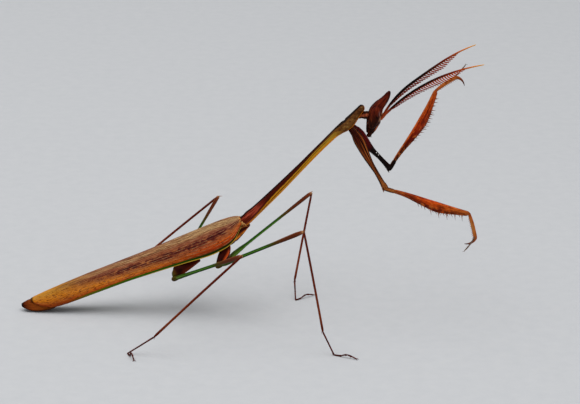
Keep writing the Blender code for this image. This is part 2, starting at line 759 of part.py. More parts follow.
def make_foot(pair, side, ankle):
    """The long first joint reaches down to the floor, and the others lie along it."""
    sign = SIDES[side]
    leg, pose = WALKING_LEGS[pair], WALKING_POSE[pair, side]
    drop = math.degrees(math.asin((ankle.z - FLOOR - TARSUS_HEIGHT) / leg["basitarsus"]))
    first = Frame(ankle, pose["basitarsus"], -drop, sign)
    heel = first.at(leg["basitarsus"])
    last = Frame(heel, *pose["tarsus"], sign)
    joints = [last.at(leg["tarsus"] * i / FOOT_JOINTS) for i in range(1, FOOT_JOINTS + 1)]
    path = [first.at(0.02), first.at(0.5 * leg["basitarsus"]), first.at(leg["basitarsus"] - 0.5)]
    path += [heel + (joints[0] - heel) * 0.3, *joints]
    radii = [0.8 * TARSUS_RADIUS] + [TARSUS_RADIUS] * (len(path) - 2) + [0.7 * TARSUS_RADIUS]
    foot = stand_flat(tube(path, radii))
    solid(f"{pair}_tarsus_{side}", foot, finish("tarsus", (0.10, 0.03, 0.02), 0.5), ankle)


for leftover in list(bpy.data.objects):
    bpy.data.objects.remove(leftover)

PARTS = bpy.data.collections.new("mantis")
CUTTERS = bpy.data.collections.new("mantis_cutters")
bpy.context.scene.collection.children.link(PARTS)
bpy.context.scene.collection.children.link(CUTTERS)
ORIGIN = bpy.data.objects.new("mantis_origin", None)
ORIGIN.location = CENTRING * MM
PARTS.objects.link(ORIGIN)

make_prothorax()
make_body()
make_wings()
make_head()
make_antennae()
for limb_side in SIDES:
    make_foreleg(limb_side)
    for leg_pair in WALKING_LEGS:
        make_walking_leg(leg_pair, limb_side)
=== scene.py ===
"""The looks of a male cone-headed praying mantis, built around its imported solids.

Lengths are in millimetres in the design frame, where x is ahead of the animal, y its left
and z up; PLACE and MM take them to the world's metres. Every skin has a UV map named lie:
U runs along a part, and V round it, from its back (0) by way of its belly (0.5) to its back (1).
On a wing, V goes from the ridge to the margin on the outer face, and returns on the inner face.
"""
import math

import bpy
import numpy as np
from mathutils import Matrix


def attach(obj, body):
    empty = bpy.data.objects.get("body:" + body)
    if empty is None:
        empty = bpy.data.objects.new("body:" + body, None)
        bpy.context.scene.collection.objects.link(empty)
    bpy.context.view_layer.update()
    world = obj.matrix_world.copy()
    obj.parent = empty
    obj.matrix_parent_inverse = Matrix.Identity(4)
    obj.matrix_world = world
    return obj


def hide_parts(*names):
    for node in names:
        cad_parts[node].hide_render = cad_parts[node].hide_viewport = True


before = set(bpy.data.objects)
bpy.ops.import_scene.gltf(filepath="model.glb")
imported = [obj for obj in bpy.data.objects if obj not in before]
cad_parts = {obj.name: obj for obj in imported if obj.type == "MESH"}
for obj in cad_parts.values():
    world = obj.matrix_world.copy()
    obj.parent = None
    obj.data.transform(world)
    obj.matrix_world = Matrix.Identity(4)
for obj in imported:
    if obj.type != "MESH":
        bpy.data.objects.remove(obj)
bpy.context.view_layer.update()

MM = 0.001
FLOOR = 0.22
PLACE = np.array((-0.88, 1.43, -FLOOR))
SIDES = {"right": -1, "left": 1}


# ------------------------------------------------------------------ places and curves


class Axes:
    """Axes of one part: forward along it, across towards the left, up to its back."""

    def __init__(self, origin, bearing, pitch, side=1):
        turn, rise = math.radians(side * bearing), math.radians(pitch)
        self.origin = np.array(origin, float)
        self.forward = np.array((
            math.cos(turn) * math.cos(rise), math.sin(turn) * math.cos(rise), math.sin(rise),
        ))
        self.across = np.array((-math.sin(turn), math.cos(turn), 0.0))
        self.up = np.cross(self.forward, self.across)

    def at(self, along, across=0.0, up=0.0):
        return (self.origin + np.multiply.outer(along, self.forward)
                + np.multiply.outer(across, self.across) + np.multiply.outer(up, self.up))


def unit(vector):
    return np.asarray(vector, float) / np.linalg.norm(vector)


def square(vector, to):
    """The part of a vector that is square to a direction, with a length of one."""
    to = unit(to)
    return unit(np.asarray(vector, float) - to * np.dot(vector, to))


def mirrored(point, side):
    return np.array((point[0], side * point[1], point[2]), float)


def through(rows, places):
    """A table's columns at given values of its first one, on curves that never overshoot."""
    table = np.array(rows, float)
    x, y = table[:, 0], table[:, 1:]
    step = np.diff(x)[:, None]
    rise = np.diff(y, axis=0) / step
    slope = np.zeros_like(y)
    slope[0], slope[-1] = rise[0], rise[-1]
    near, far = 2 * step[1:] + step[:-1], step[1:] + 2 * step[:-1]
    same = rise[:-1] * rise[1:] > 0
    low, high = np.where(same, rise[:-1], 1.0), np.where(same, rise[1:], 1.0)
    slope[1:-1] = np.where(same, (near + far) / (near / low + far / high), 0.0)
    places = np.clip(np.asarray(places, float), x[0], x[-1])
    i = np.clip(np.searchsorted(x, places, side="right") - 1, 0, len(x) - 2)
    t = ((places - x[i]) / step[i, 0])[:, None]
    return ((2 * t ** 3 - 3 * t ** 2 + 1) * y[i] + (t ** 3 - 2 * t ** 2 + t) * step[i] * slope[i]
            + (3 * t ** 2 - 2 * t ** 3) * y[i + 1] + (t ** 3 - t ** 2) * step[i] * slope[i + 1])


def bend(points, shares):
    """Places at shares of the length of a smooth curve through points."""
    points = np.array(points, float)
    ends = np.vstack((2 * points[0] - points[1], points, 2 * points[-1] - points[-2]))
    t = np.linspace(0, 1, 24, endpoint=False)[:, None]
    fine = [0.5 * (2 * b + (c - a) * t + (2 * a - 5 * b + 4 * c - d) * t ** 2
                   + (3 * b - a - 3 * c + d) * t ** 3)
            for a, b, c, d in zip(ends, ends[1:], ends[2:], ends[3:])]
    fine = np.vstack((*fine, points[-1:]))
    reach = np.concatenate(([0.0], np.cumsum(np.linalg.norm(np.diff(fine, axis=0), axis=1))))
    places = np.asarray(shares) * reach[-1]
    return np.stack([np.interp(places, reach, fine[:, k]) for k in range(3)], axis=1)


def carried(path, up):
    """Sideways and up directions along a path, carried along it without twisting."""
    ahead = np.gradient(path, axis=0)
    ups = [square(up, ahead[0])]
    for direction in ahead[1:]:
        ups.append(square(ups[-1], direction))
    ahead /= np.linalg.norm(ahead, axis=1)[:, None]
    return np.cross(ups, ahead), np.array(ups)


def rounding(steps, first, last):
    """Places along a part, and how far each ring is drawn in to round the two ends."""
    bow = np.linspace(0.12, 1.0, 6)[:-1] * math.pi / 2
    head, tail = first * (1 - np.cos(bow)), 1 - last * (1 - np.cos(bow[::-1]))
    share = np.concatenate((head, np.linspace(first, 1 - last, steps), tail))
    draw = np.concatenate((np.sin(bow), np.ones(steps), np.sin(bow[::-1])))
    return share, draw


def swell(values, centre, width):
    """A soft bump with a height of one."""
    return np.exp(-((np.asarray(values, float) - centre) / width) ** 2)


def eased(values, low, high):
    t = np.clip((np.asarray(values, float) - low) / (high - low), 0.0, 1.0)
    return t * t * (3 - 2 * t)


# ------------------------------------------------------------------ outlines of sections


def oval(width, top, under, sides):
    """An egg-shaped section, as (across, up) columns that start at the back."""
    angle = np.linspace(0, 2 * math.pi, sides, endpoint=False)
    up = np.cos(angle)
    return np.stack((width * np.sin(angle), np.where(up > 0, top, -under) * up), axis=1)


# Half of a section from its back to its belly, as shares of the half width and of the height.
SHIELD_HALF = [
    (0.0, 1.00), (0.10, 0.985), (0.34, 0.93), (0.62, 0.80), (0.84, 0.61), (0.96, 0.44),
    (1.0, 0.34), (0.95, 0.26), (0.80, 0.14), (0.54, 0.04), (0.26, 0.0), (0.0, 0.0),
]
SHIELD_SIDES = 48


def shield(width, top, under):
    """A section with a fine keel on its back and a margin along each side."""
    shares = np.linspace(0, 1, SHIELD_SIDES // 2 + 1)
    half = bend([(a, u, 0.0) for a, u in SHIELD_HALF], shares)[:, :2]
    keel = 0.05 * swell(half[:, 0], 0.0, 0.07) * (half[:, 1] > 0.5)
    left = np.stack((width * half[:, 0], under + (top - under) * half[:, 1] + keel), axis=1)
    return np.vstack((left, left[1:-1][::-1] * (-1, 1)))


# ------------------------------------------------------------------ gathering shells

POLE_GAP = 0.06


class Clay:
    """Closed shells gathered into one piece."""

    def __init__(self):
        self.points, self.faces, self.lie, self.count = [], [], [], 0

    def shell(self, rings, along, thin=False):
        """Skin a chain of rings, with along as their places in U.

        The ends close on a pole, or for a thin wall straight across from face to face.
        """
        rings = np.array(rings, float)
        total, sides = rings.shape[:2]
        i, j = (grid.ravel() for grid in np.meshgrid(
            np.arange(total - 1), np.arange(sides), indexing="ij"))
        k = (j + 1) % sides
        corners = np.stack((i * sides + j, i * sides + k, (i + 1) * sides + k,
                            (i + 1) * sides + j), 1)
        u = np.stack((along[i], along[i], along[i + 1], along[i + 1]), 1)
        v = np.stack((j, j + 1, j + 1, j), 1) / sides
        points, faces = [rings.reshape(-1, 3)], corners.tolist()
        lie = [np.stack((u.ravel(), v.ravel()), 1)]
        last = (total - 1) * sides
        for start, place, turned in ((0, along[0], True), (last, along[-1], False)):
            if thin:
                j = np.arange(sides // 2 - 1)
                caps = np.stack((j, j + 1, sides - 2 - j, sides - 1 - j), 1)
                v = caps / sides
            else:
                j = np.arange(sides)
                pole = last + sides + len(points) - 1 - start
                caps = np.stack((j, (j + 1) % sides, np.full(sides, pole)), 1)
                v = np.stack((j, j + 1, j + 0.5), 1) / sides
                points.append(rings[start // sides].mean(axis=0)[None])
            if turned:
                caps, v = caps[:, ::-1], v[:, ::-1]
            faces += (caps + start).tolist()
            lie.append(np.stack((np.full(v.size, place), v.ravel()), 1))
        self.add(np.vstack(points), faces, np.vstack(lie))

    def add(self, points, faces, lie):
        """Add one closed body, turned so that its faces point outwards."""
        fans = np.array([(face[0], face[n], face[n + 1])
                         for face in faces for n in range(1, len(face) - 1)])
        a, b, c = (points[fans[:, n]] for n in range(3))
        if np.einsum("ij,ij->i", a, np.cross(b, c)).sum() < 0:
            starts = np.cumsum([0] + [len(face) for face in faces])
            lie = np.vstack([lie[s:e][::-1] for s, e in zip(starts, starts[1:])])
            faces = [face[::-1] for face in faces]
        self.points.append(points)
        self.faces += [[corner + self.count for corner in face] for face in faces]
        self.lie.append(lie)
        self.count += len(points)

    def piece(self, name, finish, sharp=60):
        """One object at the origin, with its place in its mesh."""
        mesh = bpy.data.meshes.new(name)
        mesh.from_pydata(((np.vstack(self.points) + PLACE) * MM).tolist(), [], self.faces)
        mesh.uv_layers.new(name="lie").data.foreach_set("uv", np.vstack(self.lie).ravel())
        mesh.materials.append(finish)
        mesh.shade_smooth()
        mesh.set_sharp_from_angle(angle=math.radians(sharp))
        obj = bpy.data.objects.new(name, mesh)
        bpy.context.scene.collection.objects.link(obj)
        return obj


def settle(obj, slot, *nodes):
    """Let a piece ride on the body and put it in the place of nodes, which are hidden. The slot is
    not used.
    """
    if nodes:
        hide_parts(*nodes)
    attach(obj, "root")


def bars(*sizes):
    """Rows of even sections, each from a share, a half width and a half depth if it differs."""
    return [(share, size[0], size[-1], -size[-1]) for share, *size in sizes]


def limb(clay, path, up, rows, side, steps, sides, lie=(0.0, 1.0), ends=(0.02, 0.02),
         shape=None):
    """A shell along a path, with rows of (share, half width, top, underside).

    V is 0.25 on the side that faces the animal's middle. No part of it goes below the floor.
    """
    share, draw = rounding(steps, *ends)
    spine = bend(path, share)
    sizes = through(rows, share) * draw[:, None]
    across, ups = carried(spine, up)
    rings = []
    for place, point, wide, high, size in zip(share, spine, -side * across, ups, sizes):
        pairs = oval(*size, sides)
        if shape:
            pairs = shape(place, pairs)
        rings.append(point + np.outer(pairs[:, 0], wide) + np.outer(pairs[:, 1], high))
    rings = np.array(rings)
    rings[..., 2] = np.maximum(rings[..., 2], FLOOR)
    clay.shell(rings, lie[0] + (lie[1] - lie[0]) * share)


def egg(clay, centre, axes, radii, lie=(0.0, 1.0), steps=16, sides=20):
    """An ellipsoid with its poles on the first of three axes."""
    axes = np.array(axes, float)
    rings = []
    for angle in np.linspace(POLE_GAP, math.pi - POLE_GAP, steps):
        pairs = oval(radii[1] * math.sin(angle), radii[2] * math.sin(angle),
                     -radii[2] * math.sin(angle), sides)
        rings.append(centre - axes[0] * radii[0] * math.cos(angle)
                     + np.outer(pairs[:, 0], axes[1]) + np.outer(pairs[:, 1], axes[2]))
    clay.shell(rings, np.linspace(*lie, steps))


# ------------------------------------------------------------------ node trees as expressions


def tint(red, green, blue):
    """A colour given in display steps of 0 to 255, as a linear colour."""
    steps = [channel / 255 for channel in (red, green, blue)]
    return (*[s / 12.92 if s <= 0.04045 else ((s + 0.055) / 1.055) ** 2.4 for s in steps], 1.0)


class Wire:
    """A socket that takes part in sums."""

    def __init__(self, board, socket):
        self.board, self.socket = board, socket

    def sum(self, operation, *values):
        return self.board.node("ShaderNodeMath", {"operation": operation}, values)

    def __add__(self, other):
        return self.sum("ADD", self, other)

    def __sub__(self, other):
        return self.sum("SUBTRACT", self, other)

    def __rsub__(self, other):
        return self.sum("SUBTRACT", other, self)

    def __mul__(self, other):
        return self.sum("MULTIPLY", self, other)

    def __truediv__(self, other):
        return self.sum("DIVIDE", self, other)

    def __pow__(self, other):
        return self.sum("POWER", self, other)

    def __mod__(self, other):
        return self.sum("FLOORED_MODULO", self, other)

    def __abs__(self):
        return self.sum("ABSOLUTE", self)

    __radd__ = __add__
    __rmul__ = __mul__

    def sine(self):
        return self.sum("SINE", self)

    def cosine(self):
        return self.sum("COSINE", self)

    def rising(self, low, high):
        """0 below low and 1 above high, with a soft step between them."""
        return self.board.node("ShaderNodeMapRange", {"interpolation_type": "SMOOTHSTEP"},
                               {"Value": self, "From Min": low, "From Max": high})

    def falling(self, low, high):
        return 1.0 - self.rising(low, high)

    def near(self, centre, width):
        """1 at the centre, falling softly to 0 at a width away from it."""
        return abs(self - centre).falling(0.0, width)


class Board:
    """A node tree that is written as expressions on wires."""

    def __init__(self, tree):
        self.tree = tree

    def node(self, kind, settings=None, sockets=(), out=0):
        """Any node: its settings first, then the values or wires of its sockets."""
        node = self.tree.nodes.new(kind)
        for key, value in (settings or {}).items():
            if key == "stops":
                while len(node.color_ramp.elements) < len(value):
                    node.color_ramp.elements.new(0.5)
                for element, (position, colour) in zip(node.color_ramp.elements, value):
                    element.position, element.color = position, colour
            else:
                setattr(node, key, value)
        for key, value in (sockets.items() if isinstance(sockets, dict) else enumerate(sockets)):
            if isinstance(value, Wire):
                self.tree.links.new(value.socket, node.inputs[key])
            else:
                node.inputs[key].default_value = value
        return Wire(self, node.outputs[out])

    def joined(self, x, y, z=0.0):
        return self.node("ShaderNodeCombineXYZ", {}, [x, y, z])


class Finish(Board):
    """A material whose pattern follows the lie of a part."""

    def __init__(self, name, **values):
        self.material = bpy.data.materials.new(name)
        self.material.use_nodes = True
        self.colour = None
        super().__init__(self.material.node_tree)
        self.shader = self.tree.nodes["Principled BSDF"]
        self.shader.inputs["Specular IOR Level"].default_value = 0.04
        for socket, value in values.items():
            self.shader.inputs[socket.replace("_", " ")].default_value = value
        lie = self.node("ShaderNodeUVMap", {"uv_map": "lie"})
        self.along = self.node("ShaderNodeSeparateXYZ", {}, [lie], out=0)
        self.round = self.node("ShaderNodeSeparateXYZ", {}, [lie], out=1)

    def ramp(self, value, *stops):
        colours = [(position, tint(*colour)) for position, colour in stops]
        return self.node("ShaderNodeValToRGB", {"stops": colours}, {"Fac": value})

    def blend(self, first, second, share):
        sides = [side if isinstance(side, Wire) else tint(*side) for side in (first, second)]
        return self.node("ShaderNodeMix", {"data_type": "RGBA"},
                         {0: share, 6: sides[0], 7: sides[1]}, out=2)

    def paint(self, colour, share):
        """Lay a colour over what is there, as thickly as a share says."""
        self.colour = self.blend(self.colour, colour, share)

    def spot(self, *stretch):
        """Places on the object in millimetres, stretched by three factors."""
        place = self.node("ShaderNodeTexCoord", {}, [], out=3)
        return self.node("ShaderNodeVectorMath", {"operation": "MULTIPLY"},
                         [place, [size / MM for size in stretch]])

    def rolled(self, reach, girth):
        """A place for noise that runs along a part and closes up round it."""
        turn = self.round * (2 * math.pi)
        return self.joined(self.along * reach, turn.cosine() * girth, turn.sine() * girth)

    def height(self):
        """1 along the back of a part, falling to 0 along its belly."""
        return abs(1.0 - self.round * 2.0)

    def grit(self, scale, detail=4.0, roughness=0.55):
        """Noise that is fixed to the object, with so many grains to a millimetre."""
        return self.noise(self.spot(1.0, 1.0, 1.0), detail, roughness, scale)

    def noise(self, place, detail=4.0, roughness=0.55, scale=1.0):
        return self.node("ShaderNodeTexNoise", {}, {"Vector": place, "Scale": scale,
                                                   "Detail": detail, "Roughness": roughness})

    def facets(self, scale):
        """Distances from the centres of small cells, as on the face of a compound eye."""
        return self.node("ShaderNodeTexVoronoi", {"feature": "F1"},
                         {"Vector": self.spot(1.0, 1.0, 1.0), "Scale": scale})

    def mark(self, name):
        """A value that the mesh carries under a name."""
        return self.node("ShaderNodeAttribute", {"attribute_name": name}, [], out=2)

    def dress(self, roughness=None, relief=None, depth=0.03):
        """Join the colour, the roughness and a relief of a depth in millimetres."""
        wires = {"Base Color": self.colour}
        if roughness:
            wires["Roughness"] = roughness
        if relief:
            wires["Normal"] = self.node("ShaderNodeBump", {}, {
                "Height": relief, "Distance": depth * MM, "Strength": 1.0})
        for socket, wire in wires.items():
            self.tree.links.new(wire.socket, self.shader.inputs[socket])
        return self.material


class Works(Board):
    """A Geometry Nodes tree with named inputs."""

    def __init__(self, name, **kinds):
        super().__init__(bpy.data.node_groups.new(name, "GeometryNodeTree"))
        face = self.tree.interface
        face.new_socket("Geometry", in_out="INPUT", socket_type="NodeSocketGeometry")
        face.new_socket("Geometry", in_out="OUTPUT", socket_type="NodeSocketGeometry")
        self.keys = {}
        for label, kind in kinds.items():
            socket = face.new_socket(label, in_out="INPUT", socket_type=f"NodeSocket{kind}")
            self.keys[label] = socket.identifier
        self.entry = self.tree.nodes.new("NodeGroupInput")

    def given(self, label):
        return Wire(self, self.entry.outputs[label])

    def carried(self, name, kind="FLOAT"):
        """An attribute of the points that the tree is given."""
        return self.node("GeometryNodeInputNamedAttribute", {"data_type": kind}, {"Name": name})

    def close(self, geometry):
        """Realize what was made, give it its finish and end the tree."""
        real = self.node("GeometryNodeRealizeInstances", {}, [geometry])
        smooth = self.node("GeometryNodeSetShadeSmooth", {}, {"Geometry": real})
        done = self.node("GeometryNodeSetMaterial", {}, {"Geometry": smooth,
                                                        "Material": self.given("Finish")})
        output = self.tree.nodes.new("NodeGroupOutput")
        self.tree.links.new(done.socket, output.inputs[0])
        return self

    def grow(self, name, points, edges=(), marks=None, **values):
        """Run the tree on points with marks, and keep the result as a plain mesh."""
        mesh = bpy.data.meshes.new(name)
        mesh.from_pydata(((np.array(points) + PLACE) * MM).tolist(), edges, [])
        for mark, numbers in (marks or {}).items():
            numbers = np.array(numbers, float)
            vector = numbers.ndim == 2
            layer = mesh.attributes.new(mark, "FLOAT_VECTOR" if vector else "FLOAT", "POINT")
            layer.data.foreach_set("vector" if vector else "value", numbers.ravel())
        obj = bpy.data.objects.new(name, mesh)
        bpy.context.scene.collection.objects.link(obj)
        modifier = obj.modifiers.new(name, "NODES")
        modifier.node_group = self.tree
        for label, value in values.items():
            modifier[self.keys[label]] = value
        ready = obj.evaluated_get(bpy.context.evaluated_depsgraph_get())
        grown = bpy.data.meshes.new_from_object(ready)
        grown.name = name
        obj.modifiers.clear()
        obj.data = grown
        return obj


# ------------------------------------------------------------------ prickles and ribs


def prickle_works():
    """A tapering, bent prickle on every point, along its aim and bent towards its lean."""
    works = Works("prickles", Sides="Int", Segments="Int", Tip="Float", Bend="Float",
                  Jitter="Float", Seed="Int", Finish="Material")
    node = works.node
    cone = node("GeometryNodeMeshCone", {}, {
        "Vertices": works.given("Sides"), "Side Segments": works.given("Segments"),
        "Radius Top": works.given("Tip"), "Radius Bottom": 1.0, "Depth": 1.0,
    })
    place = node("GeometryNodeInputPosition")
    rise = node("ShaderNodeSeparateXYZ", {}, [place], out=2)
    bent = node("GeometryNodeSetPosition", {}, {
        "Geometry": cone, "Offset": works.joined(rise ** 2 * works.given("Bend"), 0.0)})
    marked = node("GeometryNodeStoreNamedAttribute", {"data_type": "FLOAT", "domain": "POINT"},
                  {"Geometry": bent, "Name": "rise", "Value": rise})
    turn = node("FunctionNodeAlignRotationToVector", {"axis": "Z"},
                {"Vector": works.carried("aim", "FLOAT_VECTOR")})
    turn = node("FunctionNodeAlignRotationToVector", {"axis": "X", "pivot_axis": "Z"},
                {"Rotation": turn, "Vector": works.carried("lean", "FLOAT_VECTOR")})
    chance = node("FunctionNodeRandomValue", {"data_type": "FLOAT"}, {
        2: 1.0 - works.given("Jitter"), 3: 1.0 + works.given("Jitter"),
        "Seed": works.given("Seed")}, out=1)
    girth = works.carried("girth") * MM
    planted = node("GeometryNodeInstanceOnPoints", {}, {
        "Points": node("GeometryNodeMeshToPoints", {}, [works.given("Geometry")]),
        "Instance": marked, "Rotation": turn,
        "Scale": works.joined(girth, girth, works.carried("reach") * MM * chance),
    })
    return works.close(planted)


def rib_works():
    """A round rib along each chain of edges, as thick as the girth of its points."""
    works = Works("ribs", Sides="Int", Finish="Material")
    node = works.node
    chain = node("GeometryNodeMeshToCurve", {}, [works.given("Geometry")])
    ring = node("GeometryNodeCurvePrimitiveCircle", {}, {
        "Resolution": works.given("Sides"), "Radius": MM})
    ribs = node("GeometryNodeCurveToMesh", {}, {
        "Curve": chain, "Profile Curve": ring, "Scale": works.carried("girth"),
        "Fill Caps": True})
    return works.close(ribs)


PRICKLES = prickle_works()
RIBS = rib_works()


class Bed:
    """Points that prickles are planted on."""

    def __init__(self):
        self.points = []
        self.marks = {"aim": [], "lean": [], "reach": [], "girth": [], "share": []}

    def plant(self, point, aim, lean, reach, girth, share=0.5):
        self.points.append(point)
        for mark, value in zip(self.marks.values(), (unit(aim), unit(lean), reach, girth, share)):
            mark.append(value)

    def grow(self, name, finish, slot, sides=6, segments=4, tip=0.08, bend=0.0, jitter=0.06):
        obj = PRICKLES.grow(name, self.points, marks=self.marks, Sides=sides, Segments=segments,
                            Tip=tip, Bend=bend, Jitter=jitter, Seed=len(self.points),
                            Finish=finish)
        settle(obj, slot)
        return obj


def spine_finish(name, root, tip):
    look = Finish(name)
    rise = look.mark("rise")
    mottle = look.grit(6.0, 2.0)
    look.colour = look.blend(root, tip, (rise + (mottle - 0.5) * 0.3).rising(0.35, 0.85))
    return look.dress(0.4 + mottle * 0.1)


# ------------------------------------------------------------------ pronotum

PROTHORAX = Axes((-0.2, 0.0, 17.0), 0.0, 44.6)
PRONOTUM_LENGTH = 32.3
# (distance along, half width, top, underside)
PRONOTUM = [
    (-1.3, 0.86, 0.84, -0.50), (-0.7, 0.98, 0.96, -0.72), (0.0, 1.05, 1.02, -0.88),
    (1.5, 1.15, 1.02, -1.00), (3.2, 1.00, 0.84, -0.98),
    (6.0, 0.84, 0.74, -0.95), (9.0, 0.76, 0.70, -0.90), (12.0, 0.70, 0.68, -0.76),
    (15.0, 0.68, 0.68, -0.62), (18.0, 0.68, 0.74, -0.50), (21.0, 0.74, 0.80, -0.44),
    (23.2, 0.86, 0.86, -0.46), (24.6, 1.20, 0.90, -0.66), (25.8, 1.62, 0.90, -0.98),
    (26.8, 1.72, 0.88, -1.16), (27.8, 1.48, 0.82, -0.98), (29.0, 1.22, 0.80, -0.70),
    (30.2, 1.02, 0.80, -0.46), (31.0, 0.84, 0.74, -0.22),
]
GROOVE_AT = 26.6


def pronotum_finish():
    look = Finish("pronotum chitin")
    height = look.height()
    grain = look.noise(look.rolled(60.0, 1.5), 5.0)
    fine = look.grit(9.0, 3.0)
    front = look.along.rising(0.76, 0.84)
    edge = height + (grain - 0.5) * 0.07 + look.along.falling(0.06, 0.34) * 0.16
    edge = edge - look.along.rising(0.38, 0.70) * 0.13 + look.along.rising(0.77, 0.86) * 0.36
    back = look.ramp(look.along, (0.0, (140, 46, 24)), (0.10, (126, 36, 15)), (0.24, (82, 20, 6)),
                     (0.55, (62, 16, 4)), (0.70, (84, 34, 7)), (0.78, (108, 66, 22)),
                     (0.88, (108, 68, 28)), (1.0, (76, 36, 12)))
    flank = look.ramp(look.along, (0.0, (206, 108, 20)), (0.22, (212, 140, 26)),
                      (0.55, (202, 146, 28)), (0.74, (170, 134, 40)), (0.82, (140, 88, 28)),
                      (0.90, (200, 112, 30)), (1.0, (196, 100, 32)))
    streaks = look.noise(look.joined(look.along * 9.0, height * 26.0), 3.0)
    look.colour = look.blend(back, (44, 8, 3), streaks.rising(0.46, 0.60) * 0.7
                             * look.along.falling(0.74, 0.80))
    look.paint((208, 92, 66), streaks.falling(0.42, 0.50) * 0.85 * look.along.falling(0.08, 0.24))
    look.colour = look.blend(flank, look.colour, edge.rising(0.52, 0.59))
    look.paint((40, 10, 4), edge.near(0.62, 0.06) * 0.8 * look.along.falling(0.16, 0.3))
    middle = edge.near(0.47, 0.045) * look.along.rising(0.08, 0.2) * look.along.falling(0.66, 0.8)
    look.paint((92, 34, 6), middle)
    look.paint((240, 146, 18), edge.falling(0.26, 0.42) * 0.9 * look.along.falling(0.74, 0.84))
    look.paint((226, 126, 26), height.near(0.36, 0.06) * front * 0.85)
    # Painted shade: the back of the pronotum is darkened to near black over its own dark brown, as
    # if it lay in shadow.
    look.paint((12, 3, 2), (height + front * 0.05).rising(0.80, 0.88) * 0.94)
    patches = look.grit(1.3, 5.0, 0.68)
    look.paint((150, 118, 62), height.near(0.60, 0.22) * front * patches.rising(0.52, 0.62) * 0.7)
    look.paint((50, 20, 6), patches.falling(0.38, 0.48) * front * 0.75 * height.rising(0.3, 0.4))
    look.paint((56, 24, 8), look.along.near(0.83, 0.035) * height.near(0.40, 0.16) * 0.6)
    look.paint((34, 12, 4), fine.rising(0.54, 0.70) * 0.4)
    return look.dress(0.36 + grain * 0.2, fine * 0.6 + grain, 0.05)


def pronotum_shape(along, pairs):
    """A furrow across the back at its broadest, one near the rear end, and two dents."""
    across, up = pairs.T
    crest = np.clip(up, 0.0, None)
    dip = 0.16 * swell(along, GROOVE_AT, 0.30) + 0.07 * swell(along, 1.1, 0.35)
    waist = 1.0 - 0.05 * swell(along, GROOVE_AT - 0.1, 0.35)
    arm = swell(np.abs(across), 0.55, 0.30) * swell(along, 25.4, 0.8) * 0.06
    return np.stack((across * waist, up - crest * dip - crest * arm), axis=1)


def pronotum_rings(stations, draw):
    """Sections across the pronotum, drawn in to round its two ends."""
    rings = []
    for along, pull, size in zip(stations, draw, through(PRONOTUM, stations)):
        middle = (size[1] + size[2]) / 2
        pairs = pronotum_shape(along, shield(*size)) * pull + (0.0, middle * (1 - pull))
        rings.append(PROTHORAX.at(np.full(len(pairs), along), pairs[:, 0], pairs[:, 1]))
    return rings


def make_pronotum():
    share, draw = rounding(190, 0.008, 0.012)
    clay = Clay()
    clay.shell(pronotum_rings(PRONOTUM[0][0] + share * PRONOTUM_LENGTH, draw), share)
    piece = clay.piece("pronotum_shell", pronotum_finish(), sharp=50)
    settle(piece, "pronotum", "prothorax")


def make_denticles():
    """A row of fine teeth along each margin of the pronotum, longest at its broadest part."""
    bed = Bed()
    for side in SIDES.values():
        aim = PROTHORAX.across * side - PROTHORAX.up * 0.8 + PROTHORAX.forward * 0.45
        for along in np.linspace(1.0, 29.6, 150):
            width, top, under = through(PRONOTUM, [along])[0]
            foot = PROTHORAX.at(along, side * 0.93 * width, under + 0.20 * (top - under))
            reach = 0.06 + 0.10 * swell(along, 27.0, 2.6)
            bed.plant(foot, aim, PROTHORAX.forward, reach, 0.028, along / PRONOTUM_LENGTH)
    denticles = spine_finish("pronotum denticles", (190, 104, 30), (70, 26, 8))
    bed.grow("pronotum_denticles", denticles, "pronotum", sides=5, segments=2, jitter=0.3)


# ------------------------------------------------------------------ trunk

BODY = Axes((0.0, 0.0, 16.0), 0.0, 22.4)
# (distance behind the wing base, half width, top, underside)
TRUNK = [
    (-1.25, 0.50, 0.35, -0.08), (-0.8, 0.78, 0.62, -0.26), (0.0, 1.05, 1.05, -0.74),
    (1.05, 1.36, 1.50, -1.34), (2.6, 1.75, 1.95, -1.96), (4.0, 2.00, 2.00, -2.15),
    (6.5, 2.05, 1.95, -2.20), (9.0, 1.80, 1.60, -1.90),
    (11.0, 1.45, 1.30, -1.35), (12.6, 1.25, 1.10, -0.92), (14.5, 1.22, 1.05, -0.80),
    (18.5, 1.28, 1.00, -0.80), (22.5, 1.22, 0.95, -0.72), (26.5, 1.08, 0.90, -0.55),
    (30.0, 0.88, 0.80, -0.30), (32.4, 0.66, 0.70, -0.10), (33.9, 0.34, 0.55, 0.10),
]
TRUNK_LENGTH = TRUNK[-1][0] - TRUNK[0][0]
ABDOMEN_FROM = 11.2
SEGMENT = 2.85
NECK = [(20.6, 0.0, 36.90), (21.2, 0.0, 37.16), (22.0, 0.0, 37.28), (23.2, 0.0, 37.30)]
NECK_ROWS = [(0.0, 0.40, 0.46, -0.46), (0.3, 0.50, 0.58, -0.66), (0.6, 0.56, 0.62, -0.86),
             (1.0, 0.50, 0.56, -0.86)]
# (distance behind the wing base, across, up)
CERCUS = [(33.5, 0.30, 0.30), (35.2, 0.62, 0.34), (37.1, 0.95, 0.52)]
CERCUS_ROWS = bars((0.0, 0.20), (0.4, 0.25, 0.24), (0.8, 0.18, 0.17), (1.0, 0.08))


